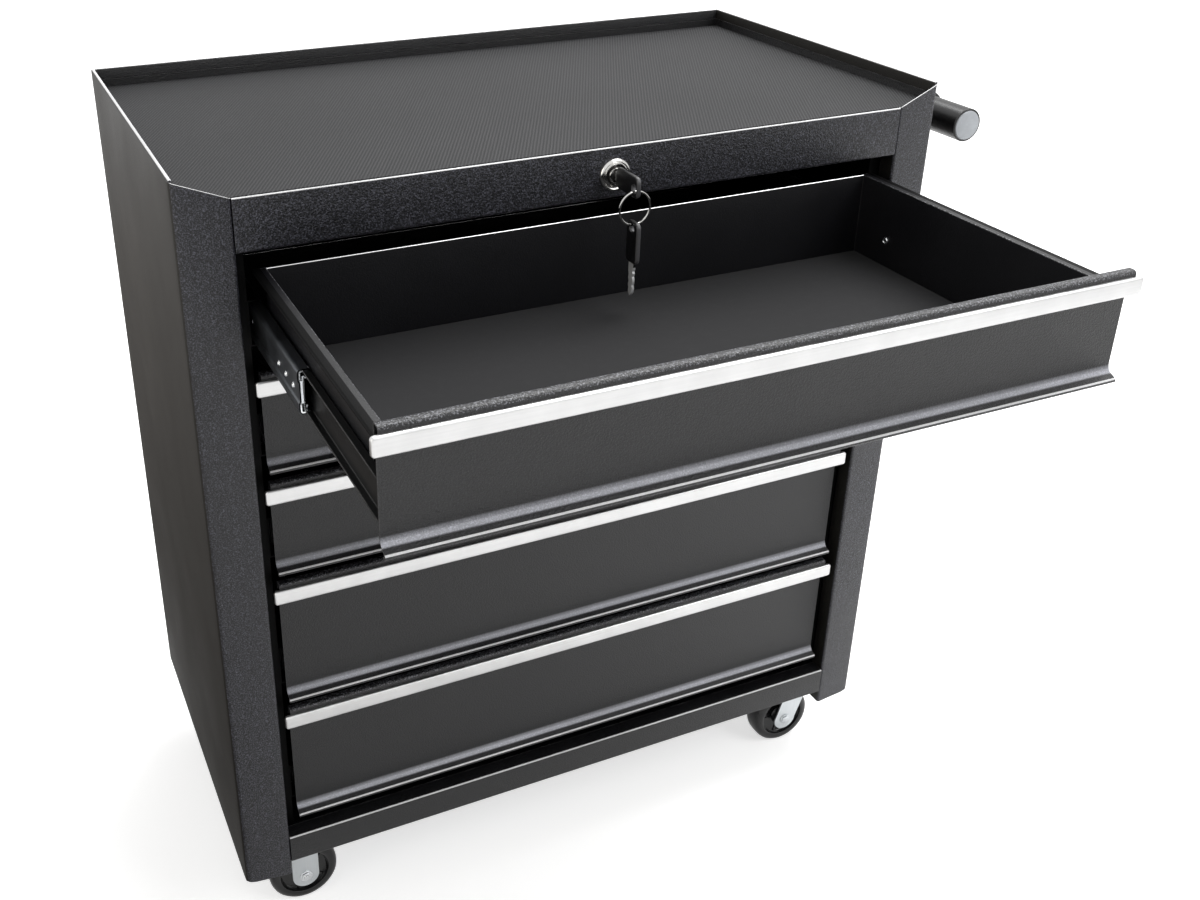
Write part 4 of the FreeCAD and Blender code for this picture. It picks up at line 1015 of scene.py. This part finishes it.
# CAD parts that show in their own shape
# runner_uprights and outer_runners take the shaded black, a painted shade where they sit in the dark gaps
for name, material in (("base_pan", BLACK), ("runner_uprights", DEEP), ("outer_runners", DEEP), ("lock_cam", ZINC)):
    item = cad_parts[name]
    item.data.materials.clear()
    item.data.materials.append(material)


# Camera, light and floor
def camera():
    """The photograph's camera: focal length and centre in its pixels, angles in degrees."""
    focal, azimuth, elevation, roll = 1305.4, -23.208, 26.132, -0.226
    where = (-438.71, -802.42, 879.73)
    centre = (480.0, 360.0)
    width, height = 1200, 900
    data = bpy.data.cameras.new("camera")
    data.sensor_width = 36
    data.lens = focal / width * data.sensor_width
    data.shift_x = (width / 2 - centre[0]) / width
    data.shift_y = (centre[1] - height / 2) / width
    data.clip_start, data.clip_end = 0.05, 60
    item = bpy.data.objects.new("camera", data)
    bpy.context.scene.collection.objects.link(item)
    a, e = math.radians(azimuth), math.radians(elevation)
    back = Vector((math.sin(a) * math.cos(e), -math.cos(a) * math.cos(e), math.sin(e)))
    right = (-back).cross(Vector((0, 0, 1))).normalized()
    up = right.cross(-back)
    r = math.radians(roll)
    right, up = right * math.cos(r) + up * math.sin(r), up * math.cos(r) - right * math.sin(r)
    turn = Matrix((right, up, back)).transposed()
    item.matrix_world = Matrix.Translation(place(*where)) @ turn.to_4x4()
    bpy.context.scene.camera = item


def lamp(name, where, aim, size, power, colour=(1, 1, 1)):
    """A soft rectangular lamp turned to its aim."""
    data = bpy.data.lights.new(name, "AREA")
    data.shape = "RECTANGLE"
    data.size, data.size_y = size
    data.energy = power
    data.color = colour
    item = bpy.data.objects.new(name, data)
    bpy.context.scene.collection.objects.link(item)
    item.location = where
    item.rotation_mode = "QUATERNION"
    item.rotation_quaternion = (Vector(aim) - Vector(where)).to_track_quat("-Z", "Y")


def studio():
    """White surroundings, three soft lamps and a white floor that keeps the cabinet's shadow."""
    sky_light, floor_gloss = 0.42, 0.45
    world = bpy.data.worlds.new("studio")
    bpy.context.scene.world = world
    world.use_nodes = True
    tree = world.node_tree
    sky = tree.nodes["Background"]
    path = node(tree, "ShaderNodeLightPath")
    seen = maths(tree, "MAXIMUM", path.outputs["Is Camera Ray"], path.outputs["Is Glossy Ray"])
    seen = maths(tree, "MAXIMUM", seen, path.outputs["Is Transmission Ray"])
    tree.links.new(ramp(tree, seen, 0.0, 1.0, sky_light, 1.0), sky.inputs["Strength"])
    sky.inputs["Color"].default_value = (1, 1, 1, 1)

    lamp("soft_key", (1.5, -1.9, 2.3), (0, 0, 0.35), (1.7, 1.2), 24)
    lamp("soft_top", (0.8, 0.5, 2.5), (0.1, 0, 0.4), (2.2, 1.6), 62)
    lamp("soft_left", (-2.4, -0.6, 1.3), (0, 0, 0.4), (0.9, 1.4), 8, (1.0, 0.93, 0.82))

    mesh = bpy.data.meshes.new("floor")
    size = 14.0
    mesh.from_pydata([(-size, -size, 0), (size, -size, 0), (size, size, 0), (-size, size, 0)], [], [(0, 1, 2, 3)])
    floor = bpy.data.objects.new("floor", mesh)
    bpy.context.scene.collection.objects.link(floor)
    material, tree, shader = blank("pale_floor")
    shader.inputs["Base Color"].default_value = (0.9, 0.9, 0.9, 1)
    shader.inputs["Roughness"].default_value = 0.9
    shader.inputs["Specular IOR Level"].default_value = 0.1
    path = node(tree, "ShaderNodeLightPath")
    spot = object_space(tree)
    away = node(tree, "ShaderNodeVectorMath", {0: spot}, operation="LENGTH").outputs["Value"]
    wide = ramp(tree, away, 0.4, 1.9, 0.6, 1.0)
    seen = maths(tree, "MAXIMUM", path.outputs["Is Camera Ray"],
                 maths(tree, "MULTIPLY", path.outputs["Is Glossy Ray"], floor_gloss))
    shader.inputs["Emission Color"].default_value = (1, 1, 1, 1)
    tree.links.new(maths(tree, "MULTIPLY", seen, wide), shader.inputs["Emission Strength"])

    # A dark card on the left, seen only in the gloss of the side panel
    parts = node(tree, "ShaderNodeSeparateXYZ", {0: spot})
    card = path.outputs["Is Glossy Ray"]
    for axis, start, full in (("X", -0.32, -0.42), ("X", -1.9, -1.4), ("Y", -0.6, -0.2), ("Y", 2.8, 2.2)):
        card = maths(tree, "MULTIPLY", card, ramp(tree, parts.outputs[axis], start, full))
    glow = ramp(tree, away, 0.4, 1.8, 0.07, 0.35)
    dark = node(tree, "ShaderNodeEmission", {"Color": (1.0, 0.93, 0.86, 1.0), "Strength": glow})
    blend = node(tree, "ShaderNodeMixShader", {0: card, 1: shader.outputs[0], 2: dark.outputs[0]})
    tree.links.new(blend.outputs[0], tree.nodes["Material Output"].inputs["Surface"])
    mesh.materials.append(material)


camera()
studio()

bpy.context.scene.view_settings.view_transform = "Standard"
